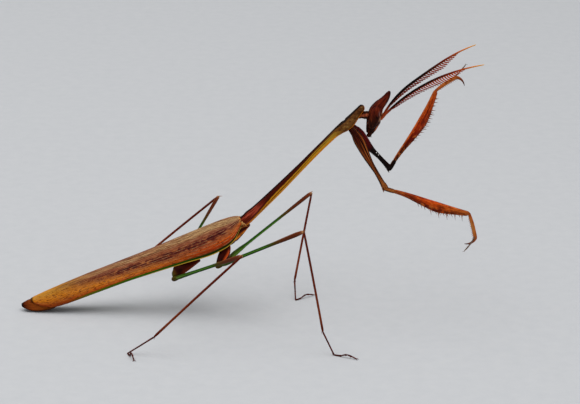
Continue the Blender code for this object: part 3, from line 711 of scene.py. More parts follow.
def trunk_finish():
    look = Finish("trunk cuticle", Roughness=0.5)
    height = look.height()
    grain = look.noise(look.rolled(40.0, 1.2), 5.0)
    fine = look.grit(7.0, 3.0)
    front = look.along.falling(0.12, 0.25)
    ragged = height + (grain - 0.5) * 0.16
    look.colour = look.ramp(look.along, (0.0, (120, 36, 18)), (0.07, (60, 16, 6)),
                            (0.16, (46, 12, 5)), (0.30, (84, 48, 22)), (0.40, (130, 98, 48)),
                            (0.9, (138, 100, 50)), (1.0, (106, 64, 32)))
    look.paint((206, 140, 64), ragged.near(0.64, 0.045) * front * 0.85)
    look.paint((16, 4, 2), ragged.near(0.50, 0.09) * front * 0.9)
    look.paint((186, 92, 30), ragged.near(0.37, 0.03) * front * 0.7)
    look.paint((255, 140, 28), ragged.near(0.28, 0.09) * front)
    look.paint((24, 6, 3), ragged.falling(0.12, 0.20) * front * 0.8)
    look.paint((24, 9, 5), grain.rising(0.52, 0.64) * 0.75)
    look.paint((60, 72, 28), look.along.rising(0.32, 0.4) * height.falling(0.1, 0.35) * 0.5)
    return look.dress(0.42 + fine * 0.2, grain + fine * 0.4, 0.06)


def neck_finish():
    look = Finish("neck skin", Roughness=0.55, Subsurface_Weight=0.1, Subsurface_Scale=0.0003)
    height = look.height()
    crumple = look.noise(look.rolled(9.0, 0.9), 5.0, 0.6)
    fold = (look.along * 30.0 + crumple * 9.0).sine()
    look.colour = look.blend((204, 112, 74), (150, 66, 40), crumple.rising(0.40, 0.62))
    look.paint((120, 48, 30), fold.rising(0.4, 1.0) * 0.5)
    look.paint((30, 10, 7), (height + crumple * 0.2).rising(0.66, 0.80) * 0.95)
    look.paint((26, 9, 6), (height + crumple * 0.2).falling(0.44, 0.54) * 0.95)
    return look.dress(None, fold * 0.5 + crumple, 0.06)


def trunk_shape(share, pairs):
    """Belts and a furrow under the thorax, and overlapping rings on the abdomen."""
    distance = share * TRUNK_LENGTH + TRUNK[0][0]
    across, up = pairs.T
    if distance > ABDOMEN_FROM:
        place = (distance - ABDOMEN_FROM) / SEGMENT % 1.0
        return pairs * (1.0 + 0.07 * eased(place, 0.0, 0.9) * (1 - eased(place, 0.9, 1.0)))
    furrow = swell(across, 0.0, 0.25) * (up < 0) * 0.12
    belt = swell(distance, 5.7, 0.22) + swell(distance, 2.4, 0.2)
    return pairs * (1.0 - 0.05 * belt) + np.stack((0 * up, furrow), axis=1)


def cercus(clay, side):
    """One of the two short jointed tails."""
    points = [BODY.at(-along, side * across, up) for along, across, up in CERCUS]
    limb(clay, points, BODY.up, CERCUS_ROWS, side, steps=60, sides=14, lie=(0.9, 1.0),
         shape=lambda t, p: p * (1 - 0.12 * abs(math.sin(t * math.pi * 9)) ** 4))


def make_trunk():
    clay = Clay()
    path = [BODY.at(-row[0]) for row in (TRUNK[0], TRUNK[-1])]
    rows = [((row[0] - TRUNK[0][0]) / TRUNK_LENGTH, *row[1:]) for row in TRUNK]
    limb(clay, path, BODY.up, rows, side=1, steps=230, sides=48, ends=(0.008, 0.01),
         shape=trunk_shape)
    for side in SIDES.values():
        cercus(clay, side)
    piece = clay.piece("trunk_skin", trunk_finish())
    settle(piece, "thorax", "pterothorax", "abdomen", "cercus_left", "cercus_right")


def make_neck():
    clay = Clay()
    limb(clay, NECK, (0, 0, 1), NECK_ROWS, side=1, steps=48, sides=32,
         shape=lambda t, p: p * (1 - 0.03 * math.sin(t * 27 + 2 * math.sin(t * 9))))
    settle(clay.piece("neck_skin", neck_finish()), "neck", "neck")


# ------------------------------------------------------------------ wings

# (distance behind the wing base, height of the ridge, height of the margin, half width)
TEGMEN = [
    (0.02, 2.22, 1.05, 1.20), (0.35, 2.42, 0.72, 1.55), (1.1, 2.64, 0.05, 2.10),
    (2.2, 2.80, -0.78, 2.62), (4.0, 2.92, -1.42, 2.95), (7.0, 2.92, -1.70, 3.00),
    (12.0, 2.88, -1.34, 2.75), (18.0, 2.82, -0.94, 2.45), (24.0, 2.86, -0.60, 2.28),
    (30.0, 2.92, -0.50, 2.08), (35.0, 2.86, -0.42, 1.88), (37.6, 2.79, -0.19, 1.72),
    (39.2, 2.71, 0.39, 1.58), (40.2, 2.64, 1.03, 1.40), (41.0, 2.57, 1.68, 1.12),
    (41.5, 2.50, 2.14, 0.72),
]
HINDWING = [
    (12.0, 2.88, -1.34, 2.75), (18.0, 2.82, -0.94, 2.45), (24.0, 2.86, -0.60, 2.28),
    (30.0, 2.92, -0.50, 2.08), (35.0, 2.86, -0.46, 1.88), (37.0, 2.80, -0.52, 1.76),
    (38.5, 2.76, -0.42, 1.68), (39.5, 2.70, -0.26, 1.58), (40.5, 2.64, -0.02, 1.46),
    (41.6, 2.52, 0.38, 1.28),
    (42.4, 2.42, 0.86, 1.08), (43.0, 2.34, 1.36, 0.86), (43.45, 2.24, 1.84, 0.60),
]
HALF_GAP = 0.14
WING_ROUNDNESS = 0.92
WALL = 0.10
WING_CLEARANCE = 0.01
OVERLAP = 13.0
UNDERLAP_DEPTH = 0.17


def wing_places(row, sign, angles, inset):
    """Places across and up on a wing at angles from its ridge, at a depth under its surface."""
    ridge, margin, half = row
    wide, high = half + HALF_GAP - inset, ridge - margin - inset
    sine, cosine = np.sin(angles), np.cos(angles)
    across = sign * wide * np.sign(sine) * np.abs(sine) ** WING_ROUNDNESS
    return across, margin + high * np.abs(cosine) ** WING_ROUNDNESS


def wing_shell(rows, sign, first, last, inset, relief, steps, sides):
    """A thin wall from a first angle to a last one, with a relief on its outer face."""
    stations = np.linspace(rows[0][0], rows[-1][0], steps)
    rings = []
    for along, row in zip(stations, through(rows, stations)):
        start, end = math.radians(first(along)), math.radians(last(along))
        angles = np.linspace(start, end, sides)
        under = inset(along, angles)
        outer = wing_places(row, sign, angles, under - relief(along, angles))
        inner = wing_places(row, sign, angles[::-1], (under + WALL)[::-1])
        across, up = np.concatenate(outer[0:1] + inner[0:1]), np.concatenate(outer[1:] + inner[1:])
        ring = BODY.at(np.full(len(across), -along), across, up)
        ring[:, 2] = np.maximum(ring[:, 2], FLOOR + WING_CLEARANCE)
        rings.append(ring)
    share = (stations - stations[0]) / (stations[-1] - stations[0])
    clay = Clay()
    clay.shell(rings, share, thin=True)
    return clay


def tegmen_ground(look, level, place):
    """The ground colour from ridge to margin, at the base, the middle and the rear."""
    base = look.ramp(level, (0.0, (176, 84, 56)), (0.04, (146, 92, 66)), (0.10, (206, 168, 118)),
                     (0.36, (206, 164, 112)), (0.52, (176, 106, 66)), (0.66, (238, 138, 52)),
                     (0.78, (228, 104, 34)), (0.87, (200, 70, 20)), (0.93, (136, 44, 10)))
    amid = look.ramp(level, (0.0, (180, 92, 62)), (0.05, (160, 108, 76)), (0.36, (196, 144, 98)),
                     (0.50, (160, 92, 58)), (0.64, (236, 144, 52)), (0.80, (246, 146, 40)),
                     (0.90, (222, 104, 26)), (0.95, (140, 50, 12)))
    rear = look.ramp(level, (0.0, (210, 92, 26)), (0.06, (202, 138, 44)), (0.45, (200, 136, 40)),
                     (0.72, (216, 126, 26)), (0.90, (168, 74, 20)), (1.0, (80, 28, 10)))
    look.colour = look.blend(base, amid, place.rising(0.18, 0.42))
    look.paint(rear, place.rising(0.62, 0.92))


def tegmen_streaks(look, angle, fan, wave, lines, slant):
    """Dark streaks along the veins and pale ones across them, most of all above."""
    along = look.along
    upper = angle.falling(0.44, 0.62)
    look.paint((148, 86, 74), upper * angle.falling(0.10, 0.36) * along.near(0.52, 0.40) * 0.6)
    coarse = look.noise(look.joined(along * 9.0 + angle * 6.0, fan * 26.0), 2.0)
    look.paint((64, 30, 18), coarse.rising(0.50, 0.55) * 0.5 * (0.2 + upper * 0.8)
               * along.falling(0.72, 0.94))
    look.paint((70, 34, 18), lines.rising(0.50, 0.56) * 0.6 * (0.35 + upper * 0.65)
               * along.falling(0.80, 0.96))
    row = (angle - along * 0.15) / (1.0 - along * 0.24) * 12.5 + (wave - 0.5) * 0.5
    between = (row % 1.0).near(0.25, 0.24) + (row % 1.0).near(0.80, 0.10) * 0.6
    look.paint((84, 40, 22), between * lines.rising(0.34, 0.50) * (0.25 + upper * 0.6)
               * along.falling(0.70, 0.96))
    look.paint((216, 186, 138), slant.falling(0.38, 0.44) * upper * 0.55 * along.falling(0.6, 0.8))


def tegmen_band(look, angle, fan, wave, dashes):
    """The broken dark band along the middle, and brown dashes below it."""
    along = look.along
    middle = 0.53 + along * 0.75 - along * along * 0.98
    fade = along.falling(0.56, 0.86)
    ragged = abs(angle - middle + (wave - 0.5) * 0.12 + (dashes - 0.5) * 0.12)
    broken = look.noise(look.joined(along * 26.0, fan * 12.0), 5.0, 0.7)
    look.paint((140, 74, 58), ragged.falling(0.12, 0.22) * fade * 0.6)
    look.paint((88, 26, 32), ragged.falling(0.05, 0.14) * broken.rising(0.41, 0.49) * fade * 0.94)
    look.paint((44, 8, 20), ragged.falling(0.03, 0.11) * broken.rising(0.50, 0.57) * fade * 0.7)
    look.paint((104, 34, 10), dashes.rising(0.54, 0.60) * 0.8
               * (0.15 + (angle + along * 0.3).rising(0.55, 0.8)))


def tegmen_edges(look, angle):
    """The green margin with its pale rim, the ridge and the dark tip."""
    along = look.along
    green = look.ramp(along, (0.0, (8, 26, 3)), (0.2, (18, 50, 4)), (0.5, (42, 90, 6)),
                      (0.8, (92, 92, 12)))
    look.paint(green, angle.rising(0.928, 0.940) * along.falling(0.72, 0.86))
    look.paint((216, 172, 56), angle.rising(0.970, 0.980) * along.falling(0.3, 0.6) * 0.95)
    look.paint((206, 92, 38), angle.falling(0.02, 0.045) * along.rising(0.15, 0.4) * 0.8)
    look.paint((40, 12, 5), along.rising(0.984, 0.994) * 0.9)


def tegmen_finish():
    """Mottled leather. The level that a vein keeps while the veins spread is called fan."""
    look = Finish("tegmen")
    along, angle = look.along, look.round * 2.0
    wave = look.noise(look.joined(along * 20.0, angle * 2.0), 4.0)
    fine = look.noise(look.joined(along * 240.0, angle * 40.0), 4.0)
    fan = angle + along * (0.62 - angle) * 0.5
    lines = look.noise(look.joined(along * 14.0 + angle * 10.0, fan * 44.0), 3.0)
    dashes = look.noise(look.joined(along * 60.0 + 5.0, fan * 44.0), 4.0, 0.65)
    slant = look.noise(look.joined(along * 40.0 + angle * 34.0, fan * 16.0), 3.0)
    tegmen_ground(look, angle + (wave - 0.5) * 0.06 + (lines - 0.5) * 0.06,
                  along + (wave - 0.5) * 0.12)
    tegmen_streaks(look, angle, fan, wave, lines, slant)
    tegmen_band(look, angle, fan, wave, dashes)
    look.paint((130, 60, 22), fine.rising(0.54, 0.66) * 0.35)
    tegmen_edges(look, angle)
    return look.dress(0.5 + fine * 0.2, lines * 0.8 + slant * 0.3 + fine * 0.4, 0.05)


def hindwing_finish():
    look = Finish("hindwing")
    pleats = (look.round * 180.0).sine()
    fine = look.noise(look.joined(look.along * 160.0, look.round * 30.0), 4.0)
    look.colour = look.ramp(look.along + (fine - 0.5) * 0.02, (0.0, (120, 74, 34)),
                            (0.8, (150, 78, 22)), (0.94, (158, 76, 22)), (0.975, (132, 56, 18)),
                            (0.988, (84, 30, 10)), (0.996, (20, 7, 4)))
    look.paint((84, 30, 9), pleats.rising(0.5, 1.0) * 0.3)
    look.paint((44, 12, 5), look.round.rising(0.45, 0.485) * 0.9)
    return look.dress(0.38 + fine * 0.2, pleats + fine, 0.05)


VEIN_STARTS = (0.05, 0.13, 0.21, 0.29, 0.37, 0.45, 0.53, 0.61, 0.69, 0.77, 0.85, 0.93)
VEIN_REACH, VEIN_RADIUS, VEIN_TAPER, VEIN_DEPTH = 43, 0.040, 0.022, 0.012
MARGIN_RIM = 0.07
PLEAT_HEIGHT = 0.035
HINDWING_DEPTH = 0.42
# (distance behind the wing base, across, up, size)
HINGES = [(0.16, 1.22, 1.62, 0.20), (-0.12, 1.30, 1.24, 0.22), (-0.34, 1.28, 0.94, 0.18),
          (-0.50, 1.06, 0.60, 0.17), (0.36, 1.46, 0.98, 0.17), (0.52, 1.58, 0.62, 0.13)]
HINGE_FOLD = [(0.0, 0.10, 0.16, -0.10), (0.6, 0.13, 0.20, -0.16), (1.0, 0.09, 0.14, -0.10)]


def vein_angle(start, along):
    """A vein's share of the way from the ridge to the margin, at a distance behind the base."""
    return start + 0.25 * (along / VEIN_REACH) * (0.62 - start)


def vein_finish():
    look = Finish("wing veins")
    grain = look.noise(look.spot(0.3, 1.0, 1.0), 3.0, scale=2.0)
    look.colour = look.blend((112, 58, 30), (190, 146, 96), grain.rising(0.35, 0.65))
    return look.dress(0.5 + grain * 0.2)


def hinge_finish():
    look = Finish("wing hinges")
    grain = look.grit(2.2, 5.0, 0.65)
    look.colour = look.blend((214, 158, 92), (150, 84, 40), grain.rising(0.42, 0.56))
    look.paint((70, 28, 14), grain.rising(0.58, 0.66) * 0.8)
    return look.dress(0.5 + grain * 0.2, grain, 0.08)


def wing_point(along, row, sign, angle, depth):
    """One place on the animal, at an angle from the ridge of a wing and at a depth in it."""
    return BODY.at(-along, *np.concatenate(wing_places(row, sign, np.array([angle]), depth)))


def tegmen_inset(sign, angles):
    """Depth of a tegmen under the common outline: the left one passes under the right one."""
    return (0.0 if sign < 0 else UNDERLAP_DEPTH) * (1 - eased(np.degrees(angles), 4, 22))


def make_tegmen(side, sign, finish):
    """A front wing, which on the right side reaches over the ridge of the back."""
    def first(along):
        return -OVERLAP * eased(along, 1.5, 6.0) if sign < 0 else 0.0

    def relief(along, angles):
        rim = MARGIN_RIM * swell(np.degrees(angles) / 90, 0.985, 0.03)
        return rim * eased(along, 0.8, 3.0) * (1 - eased(along, 39.5, 41.5))

    clay = wing_shell(TEGMEN, sign, first, lambda along: 90.0,
                      lambda along, angles: tegmen_inset(sign, angles), relief,
                      steps=300, sides=84)
    settle(clay.piece(f"{side}_tegmen", finish, sharp=70), "tegmen", f"tegmen_{side}")


def make_veins(side, sign, finish):
    """Low ribs that run from the base of a tegmen to its tip and grow thinner."""
    points, edges, girths = [], [], []
    stations = np.linspace(0.3, 40.8, 90)
    for start in VEIN_STARTS:
        for along, row in zip(stations, through(TEGMEN, stations)):
            if along > stations[0]:
                edges.append((len(points) - 1, len(points)))
            angle = math.radians(90 * vein_angle(start, along))
            depth = tegmen_inset(sign, angle) + VEIN_DEPTH
            points.append(wing_point(along, row, sign, angle, depth))
            girths.append(VEIN_RADIUS - VEIN_TAPER * along / VEIN_REACH)
    ribs = RIBS.grow(f"{side}_wing_veins", points, edges, {"girth": girths}, Sides=5,
                     Finish=finish)
    settle(ribs, "tegmen")


def make_hinges(side, sign, finish):
    """The small plates at the root of a wing, and the fold round its base."""
    clay = Clay()
    slope = unit(BODY.up + BODY.forward * 0.5)
    axes = (slope, BODY.across, square(BODY.forward, slope))
    for along, across, up, size in HINGES:
        egg(clay, BODY.at(-along, sign * across, up), axes, (1.7 * size, 0.8 * size, size),
            steps=14, sides=18)
    rim = [wing_point(0.06, TEGMEN[0][1:], sign, angle, 0.06)
           for angle in np.radians((4, 24, 46, 64))]
    limb(clay, rim, BODY.forward, HINGE_FOLD, sign, steps=30, sides=16, ends=(0.06, 0.08))
    settle(clay.piece(f"{side}_wing_hinges", finish), "thorax")


def make_hindwing(side, sign, finish):
    """A pleated wing folded under the tegmen, which shows as a rim round its tip."""
    def last(along):
        return 48.0 + 42.0 * eased(along, 31.0, 38.5)

    def inset(along, angles):
        rise = 0.28 * eased(along, 37.0, 41.0) + 0.10 * eased(along, 41.5, 42.2)
        return np.full(len(angles), HINDWING_DEPTH - rise)

    def pleats(along, angles):
        return PLEAT_HEIGHT * np.sin(angles * 34)

    clay = wing_shell(HINDWING, sign, lambda along: 3.0, last, inset, pleats, steps=200, sides=70)
    settle(clay.piece(f"{side}_hindwing", finish, sharp=70), "hindwing", f"hindwing_{side}")


def make_wings():
    tegmen, hindwing = tegmen_finish(), hindwing_finish()
    veins, hinges = vein_finish(), hinge_finish()
    for side, sign in SIDES.items():
        make_tegmen(side, sign, tegmen)
        make_veins(side, sign, veins)
        make_hinges(side, sign, hinges)
        make_hindwing(side, sign, hindwing)


# ------------------------------------------------------------------ head

# Places (x, z) down the middle of the head, from the mouth to the tip of the cone.
FACE = [(22.75, 33.65), (22.99, 34.45), (23.25, 35.35), (23.50, 36.15), (23.70, 37.00),
        (23.80, 37.70), (24.02, 38.25), (24.54, 39.02), (24.98, 39.50), (25.60, 40.30),
        (26.04, 41.06), (26.40, 41.66)]
FACE_DEPTHS = (0.55, 0.86, 1.10, 1.30, 1.30, 1.24, 1.14, 0.98, 0.84, 0.62, 0.42, 0.20)
FACE_WIDTHS = (0.46, 0.72, 0.98, 1.18, 1.30, 1.28, 1.18, 0.96, 0.82, 0.60, 0.42, 0.20)
EYE_CENTRE = (23.58, 1.40, 37.05)
EYE_RADII = (2.14, 0.84, 0.94)
EYE_LEAN, EYE_TOE_IN = 15.0, 10.0
ANTENNA_ROOT = (25.30, 0.46, 37.10)
MOUTH_DOWN = unit((-0.28, 0.0, -1.0))
MOUTH_FORE = square((1.0, 0.0, 0.0), MOUTH_DOWN)
LEFT = np.array((0.0, 1.0, 0.0))
# (centre, radii, shift ahead)
LIPS = [((22.98, 0, 33.62), (0.40, 0.34, 0.16), 0.30), ((22.86, 0, 33.45), (0.36, 0.38, 0.24), 0.0),
        ((22.62, 0, 33.50), (0.34, 0.26, 0.30), -0.1)]
MANDIBLE, MANDIBLE_RADII = (22.72, 0.34, 33.50), (0.44, 0.19, 0.28)
# (root, steps from joint to joint)
PALPS = [
    ((22.75, 0.42, 33.65), [(0.22, 0.16, -0.28), (0.30, 0.02, -0.34), (0.10, -0.10, -0.24),
                            (-0.12, -0.10, -0.10)]),
    ((22.50, 0.24, 33.40), [(0.06, 0.10, -0.24), (0.08, -0.02, -0.20), (0.06, -0.06, -0.12)]),
]
OCELLI = [((25.12, 0.0, 37.92), 0.17), ((25.04, 0.40, 37.52), 0.20), ((25.04, -0.40, 37.52), 0.20)]


def head_finish():
    look = Finish("head chitin")
    front = look.round.near(0.5, 0.16)
    rear = look.round.near(0.0, 0.10) + look.round.near(1.0, 0.10)
    streak = look.noise(look.rolled(6.0, 3.0), 5.0, 0.65)
    fine = look.grit(10.0, 3.0)
    look.colour = look.ramp(look.along, (0.0, (34, 10, 4)), (0.2, (40, 10, 5)), (0.45, (66, 16, 8)),
                            (0.6, (98, 28, 12)), (0.85, (84, 18, 9)), (1.0, (40, 8, 5)))
    look.paint((20, 5, 3), streak.rising(0.49, 0.62) * 0.7)
    look.paint((146, 62, 22), streak.falling(0.38, 0.46) * 0.5)
    # Painted shade: the back edge of the head and cone, and the front of the cone, are darkened
    # where they show as outlines from the side.
    look.paint((16, 4, 2), rear * look.along.rising(0.30, 0.45) * 0.85)
    look.paint((30, 8, 4), front * look.along.rising(0.62, 0.75) * 0.6)
    look.paint((190, 92, 30), look.round.near(0.5, 0.10) * look.along.near(0.13, 0.10) * 0.9)
    cheek = look.round.near(0.58, 0.16) + look.round.near(0.42, 0.16)
    cheek = cheek * look.along.near(0.37, 0.09)
    look.paint((198, 146, 104), cheek * streak.falling(0.50, 0.60) * 0.75)
    look.paint((206, 96, 28), (look.round.near(0.57, 0.05) + look.round.near(0.43, 0.05))
               * look.along.near(0.16, 0.12) * 0.9)
    return look.dress(0.38 + fine * 0.2, streak * 0.7 + fine, 0.05)


def eye_finish():
    look = Finish("eye")
    wave = look.noise(look.rolled(3.0, 1.4), 4.0)
    streaks = look.noise(look.rolled(3.4, 5.0), 5.0, 0.65)
    look.colour = look.ramp(look.along + (wave - 0.5) * 0.3, (0.0, (30, 9, 4)), (0.35, (48, 18, 8)),
                            (0.55, (76, 22, 9)), (0.75, (100, 28, 11)), (1.0, (86, 22, 10)))
    look.paint((140, 62, 26), streaks.falling(0.36, 0.46) * 0.55)
    look.paint((14, 4, 2), streaks.rising(0.50, 0.60) * 0.7)
    look.paint((8, 3, 2), look.round.near(0.20, 0.12)
               * (look.along + (wave - 0.5) * 0.3).near(0.50, 0.13) * 0.92)
    # Painted highlight: a pale lavender patch high on the front of the eye, broken up by the
    # streaks.
    painted_highlight = look.round.near(0.10, 0.12) * look.along.near(0.66, 0.12)
    look.paint((156, 116, 110), painted_highlight * streaks.falling(0.50, 0.60) * 0.8)
    # Painted highlight: a pale patch low on the rear edge of the eye.
    rim = look.round.near(0.62, 0.12) * (look.along + (wave - 0.5) * 0.1).near(0.14, 0.06)
    look.paint((176, 120, 84), rim * 0.5)
    facets = look.facets(16.0)
    return look.dress(0.42 + streaks * 0.14, facets * -1.0, 0.012)


def ocellus_finish():
    look = Finish("ocellus", Roughness=0.12, Coat_Weight=1.0)
    look.colour = look.ramp(look.along, (0.0, (90, 34, 20)), (0.55, (150, 92, 62)),
                            (1.0, (196, 150, 110)))
    return look.dress(0.1 + look.grit(8.0) * 0.1)


def head_shape(share, pairs):
    """A flat face with a ridge down it, sockets at the eyes and a cleft, crested cone."""
    across, up = pairs.T
    crown, cheek = eased(share, 0.62, 0.85), swell(share, 0.22, 0.12)
    flat = 0.10 * swell(share, 0.42, 0.18) * swell(across, 0.0, 0.5) * (up < 0)
    crest = 0.10 * crown * swell(across, 0.0, 0.10) * (up < 0)
    cleft = 0.10 * eased(share, 0.93, 1.0) * swell(across, 0.0, 0.08)
    socket = 0.10 * cheek * swell(np.abs(across), 0.5, 0.16) * (up < 0)
    ridge = 0.07 * eased(share, 0.06, 0.12) * (1 - eased(share, 0.3, 0.38))
    ridge = ridge * swell(across, 0.0, 0.12) * (up < 0)
    waist = 1.0 - 0.10 * crown * (1 - eased(share, 0.9, 1.0)) * swell(up, 0.0, 0.4)
    return np.stack((across * waist, up + flat + socket - crest - ridge
                     - cleft * np.sign(up)), axis=1)


def make_capsule(finish):
    reach = np.concatenate(([0], np.cumsum(np.linalg.norm(np.diff(FACE, axis=0), axis=1))))
    rows = [(r / reach[-1], w, d, -d) for r, w, d in zip(reach, FACE_WIDTHS, FACE_DEPTHS)]
    clay = Clay()
    limb(clay, [(x, 0.0, z) for x, z in FACE], (-1, 0, 0.4), rows, side=1, steps=110, sides=64,
         ends=(0.03, 0.02), shape=head_shape)
    settle(clay.piece("head_capsule", finish), "head", "head")


def palp(clay, side, root, joints):
    """A thin jointed feeler under the mouth."""
    points = [np.array(root)]
    for joint in joints:
        points.append(points[-1] + np.array(joint) * 0.55)
    points = [mirrored(point, side) for point in points]
    limb(clay, points, MOUTH_FORE, bars((0.0, 0.07), (1.0, 0.05)), side, steps=40, sides=10,
         lie=(0.1, 0.0), ends=(0.03, 0.05),
         shape=lambda t, p: p * (1 - 0.3 * abs(math.cos(t * math.pi * len(joints))) ** 6))


def make_mouthparts(finish):
    clay = Clay()
    for start, radii, offset in LIPS:
        egg(clay, np.array(start) + MOUTH_FORE * offset * 0.3 + MOUTH_DOWN * 0.1,
            (MOUTH_DOWN, LEFT, MOUTH_FORE), radii, lie=(0.05, 0.0))
    for side in SIDES.values():
        axes = (unit(MOUTH_DOWN + LEFT * -0.35 * side), LEFT * side, MOUTH_FORE)
        egg(clay, mirrored(MANDIBLE, side), axes, MANDIBLE_RADII, lie=(0.05, 0.0))
        for root, joints in PALPS:
            palp(clay, side, root, joints)
    settle(clay.piece("mouthparts_chitin", finish), "head", "mouthparts")


def make_eyes():
    finish = eye_finish()
    toe, lean = math.radians(EYE_TOE_IN), math.radians(EYE_LEAN)
    for side, sign in SIDES.items():
        out = np.array((math.sin(toe), sign * math.cos(toe), 0.0))
        long = square((math.sin(lean), 0.0, math.cos(lean)), out)
        clay = Clay()
        egg(clay, mirrored(EYE_CENTRE, sign), (long, out, np.cross(long, out) * -sign), EYE_RADII,
            steps=60, sides=48)
        settle(clay.piece(f"{side}_eye", finish), "eye", f"eye_{side}")


def make_ocelli():
    """The three simple eyes between the antennae."""
    clay = Clay()
    for spot, size in OCELLI:
        egg(clay, np.array(spot) - (0.12, 0, 0), ((1.0, 0, 0.1), (0, 1.0, 0), (0, 0, 1.0)),
            (size * 1.1, size, size), steps=20, sides=20)
    settle(clay.piece("ocelli", ocellus_finish()), "eye")


def make_head():
    chitin = head_finish()
    make_capsule(chitin)
    make_mouthparts(chitin)
    make_eyes()
    make_ocelli()


# ------------------------------------------------------------------ antennae

ANTENNA_LENGTH = {"right": 21.24, "left": 21.7}
ANTENNA_STEPS = 22
# Degrees at even shares of the way along.
ANTENNA_PITCHES = {"right": (47.5, 35.3, 23.3, 11.3), "left": (55.6, 31.7, 29.1, 13.8)}
ANTENNA_BEARINGS = {"right": (11.8, 13.1, 13.4), "left": (20.3, 19.1, 16.7)}
COMB_FROM, COMB_TO, COMB_TEETH = 0.10, 0.80, 32
COMB_SPLAY = 7.0
COMB_ROLL = {"right": 32.0, "left": 14.0}
COMB_CREST = 0.62
RINGS = 66
# Here and for the legs: (share of the length, half width, top, underside).
RACHIS = [
    (0.0, 0.28, 0.30, -0.30), (0.03, 0.26, 0.29, -0.29), (0.06, 0.21, 0.23, -0.23),
    (0.12, 0.22, 0.24, -0.24), (0.3, 0.25, 0.28, -0.26), (0.6, 0.22, 0.25, -0.22),
    (0.8, 0.15, 0.17, -0.16), (0.93, 0.11, 0.12, -0.12), (1.0, 0.07, 0.075, -0.075),
]


def antenna_finish():
    look = Finish("antenna rachis", Roughness=0.45)
    height = look.height()
    grain = look.noise(look.rolled(50.0, 1.0), 3.0)
    top = look.ramp(look.along + (grain - 0.5) * 0.05, (0.0, (176, 74, 30)), (0.09, (160, 62, 26)),
                    (0.14, (30, 8, 5)), (0.22, (10, 4, 3)), (0.48, (14, 5, 3)), (0.60, (60, 14, 6)),
                    (0.74, (118, 32, 12)), (0.84, (190, 84, 22)), (0.92, (232, 132, 20)),
                    (1.0, (240, 170, 44)))
    under = look.ramp(look.along, (0.0, (190, 88, 36)), (0.15, (120, 44, 24)), (0.5, (120, 50, 30)),
                      (0.8, (190, 110, 50)), (1.0, (222, 180, 96)))
    joint = (look.along * float(RINGS) * 2 * math.pi).sine()
    look.colour = look.blend(under, top, (height + (grain - 0.5) * 0.2).rising(0.25, 0.55))
    look.paint((22, 8, 6), joint.rising(0.7, 1.0) * 0.4)
    return look.dress(None, grain, 0.03)


def tooth_finish():
    look = Finish("antenna teeth", Roughness=0.5)
    rise, share = look.mark("rise"), look.mark("share")
    look.colour = look.ramp(share, (0.0, (112, 26, 8)), (0.4, (150, 42, 16)), (0.75, (184, 64, 20)),
                            (1.0, (214, 112, 36)))
    look.paint((20, 6, 4), rise.falling(0.02, 0.22) * share.falling(0.5, 0.9))
    look.paint((126, 56, 26), rise.rising(0.8, 0.96) * 0.7)
    mottle = look.grit(3.0)
    look.paint((140, 52, 30), mottle.rising(0.5, 0.7) * 0.4)
    return look.dress(0.4 + mottle * 0.2)


def tooth_reach(share):
    """Length of a comb tooth at a share of the way along the antenna."""
    if share < COMB_CREST:
        return 0.42 + 1.02 * max(0.0, (share - COMB_FROM) / (COMB_CREST - COMB_FROM)) ** 0.7
    return 1.44 * max(0.02, 1 - (share - COMB_CREST) / (COMB_TO + 0.02 - COMB_CREST)) ** 0.75


def antenna_path(side, sign):
    """Axes at even steps along one antenna, which rises less and less steeply."""
    point, places = mirrored(ANTENNA_ROOT, sign), []
    for i in range(ANTENNA_STEPS + 1):
        share = i / ANTENNA_STEPS
        bearing = np.interp(share, (0, 0.5, 1), ANTENNA_BEARINGS[side])
        pitch = np.interp(share, (0, 0.33, 0.66, 1), ANTENNA_PITCHES[side])
        axes = Axes(point, bearing, pitch, sign)
        places.append(axes)
        point = axes.at(ANTENNA_LENGTH[side] / ANTENNA_STEPS)
    return places


def make_rachis(side, sign, places, finish):
    """The ringed stem of an antenna."""
    path = [places[0].at(-0.9), *(axes.origin for axes in places)]
    clay = Clay()
    limb(clay, path, places[0].up, RACHIS, sign, steps=6 * RINGS, sides=14, ends=(0.004, 0.004),
         shape=lambda t, p: p * (1 - 0.14 * abs(math.sin(t * RINGS * math.pi)) ** 6))
    settle(clay.piece(f"{side}_antenna_rachis", finish), "antenna", f"antenna_{side}")


def make_comb(side, sign, places, finish):
    """Two rows of teeth along the underside of an antenna."""
    bed = Bed()
    shares = np.linspace(COMB_FROM, COMB_TO, COMB_TEETH)
    for share, spot in zip(shares, bend([axes.origin for axes in places], shares)):
        axes = places[min(int(share * ANTENNA_STEPS + 0.5), ANTENNA_STEPS)]
        for row in (-1, 1):
            turn = math.radians(COMB_ROLL[side] + row * COMB_SPLAY)
            out = axes.across * sign * math.sin(turn) - axes.up * math.cos(turn)
            bed.plant(spot + out * 0.08, out + axes.forward * 0.3, axes.forward,
                      tooth_reach(share), 0.15, share)
    bed.grow(f"{side}_antenna_comb", finish, "antenna", sides=6, segments=6, tip=0.6,
             bend=3.2, jitter=0.03)


def make_antennae():
    rachis, teeth = antenna_finish(), tooth_finish()
    for side, sign in SIDES.items():
        places = antenna_path(side, sign)
        make_rachis(side, sign, places, rachis)
        make_comb(side, sign, places, teeth)


# ------------------------------------------------------------------ raptorial legs

FORE_ROOT = (19.9, 1.15, 34.4)
COXA_LENGTH, TROCHANTER, THIGH, SHIN = 12.0, 1.7, 14.9, 5.0
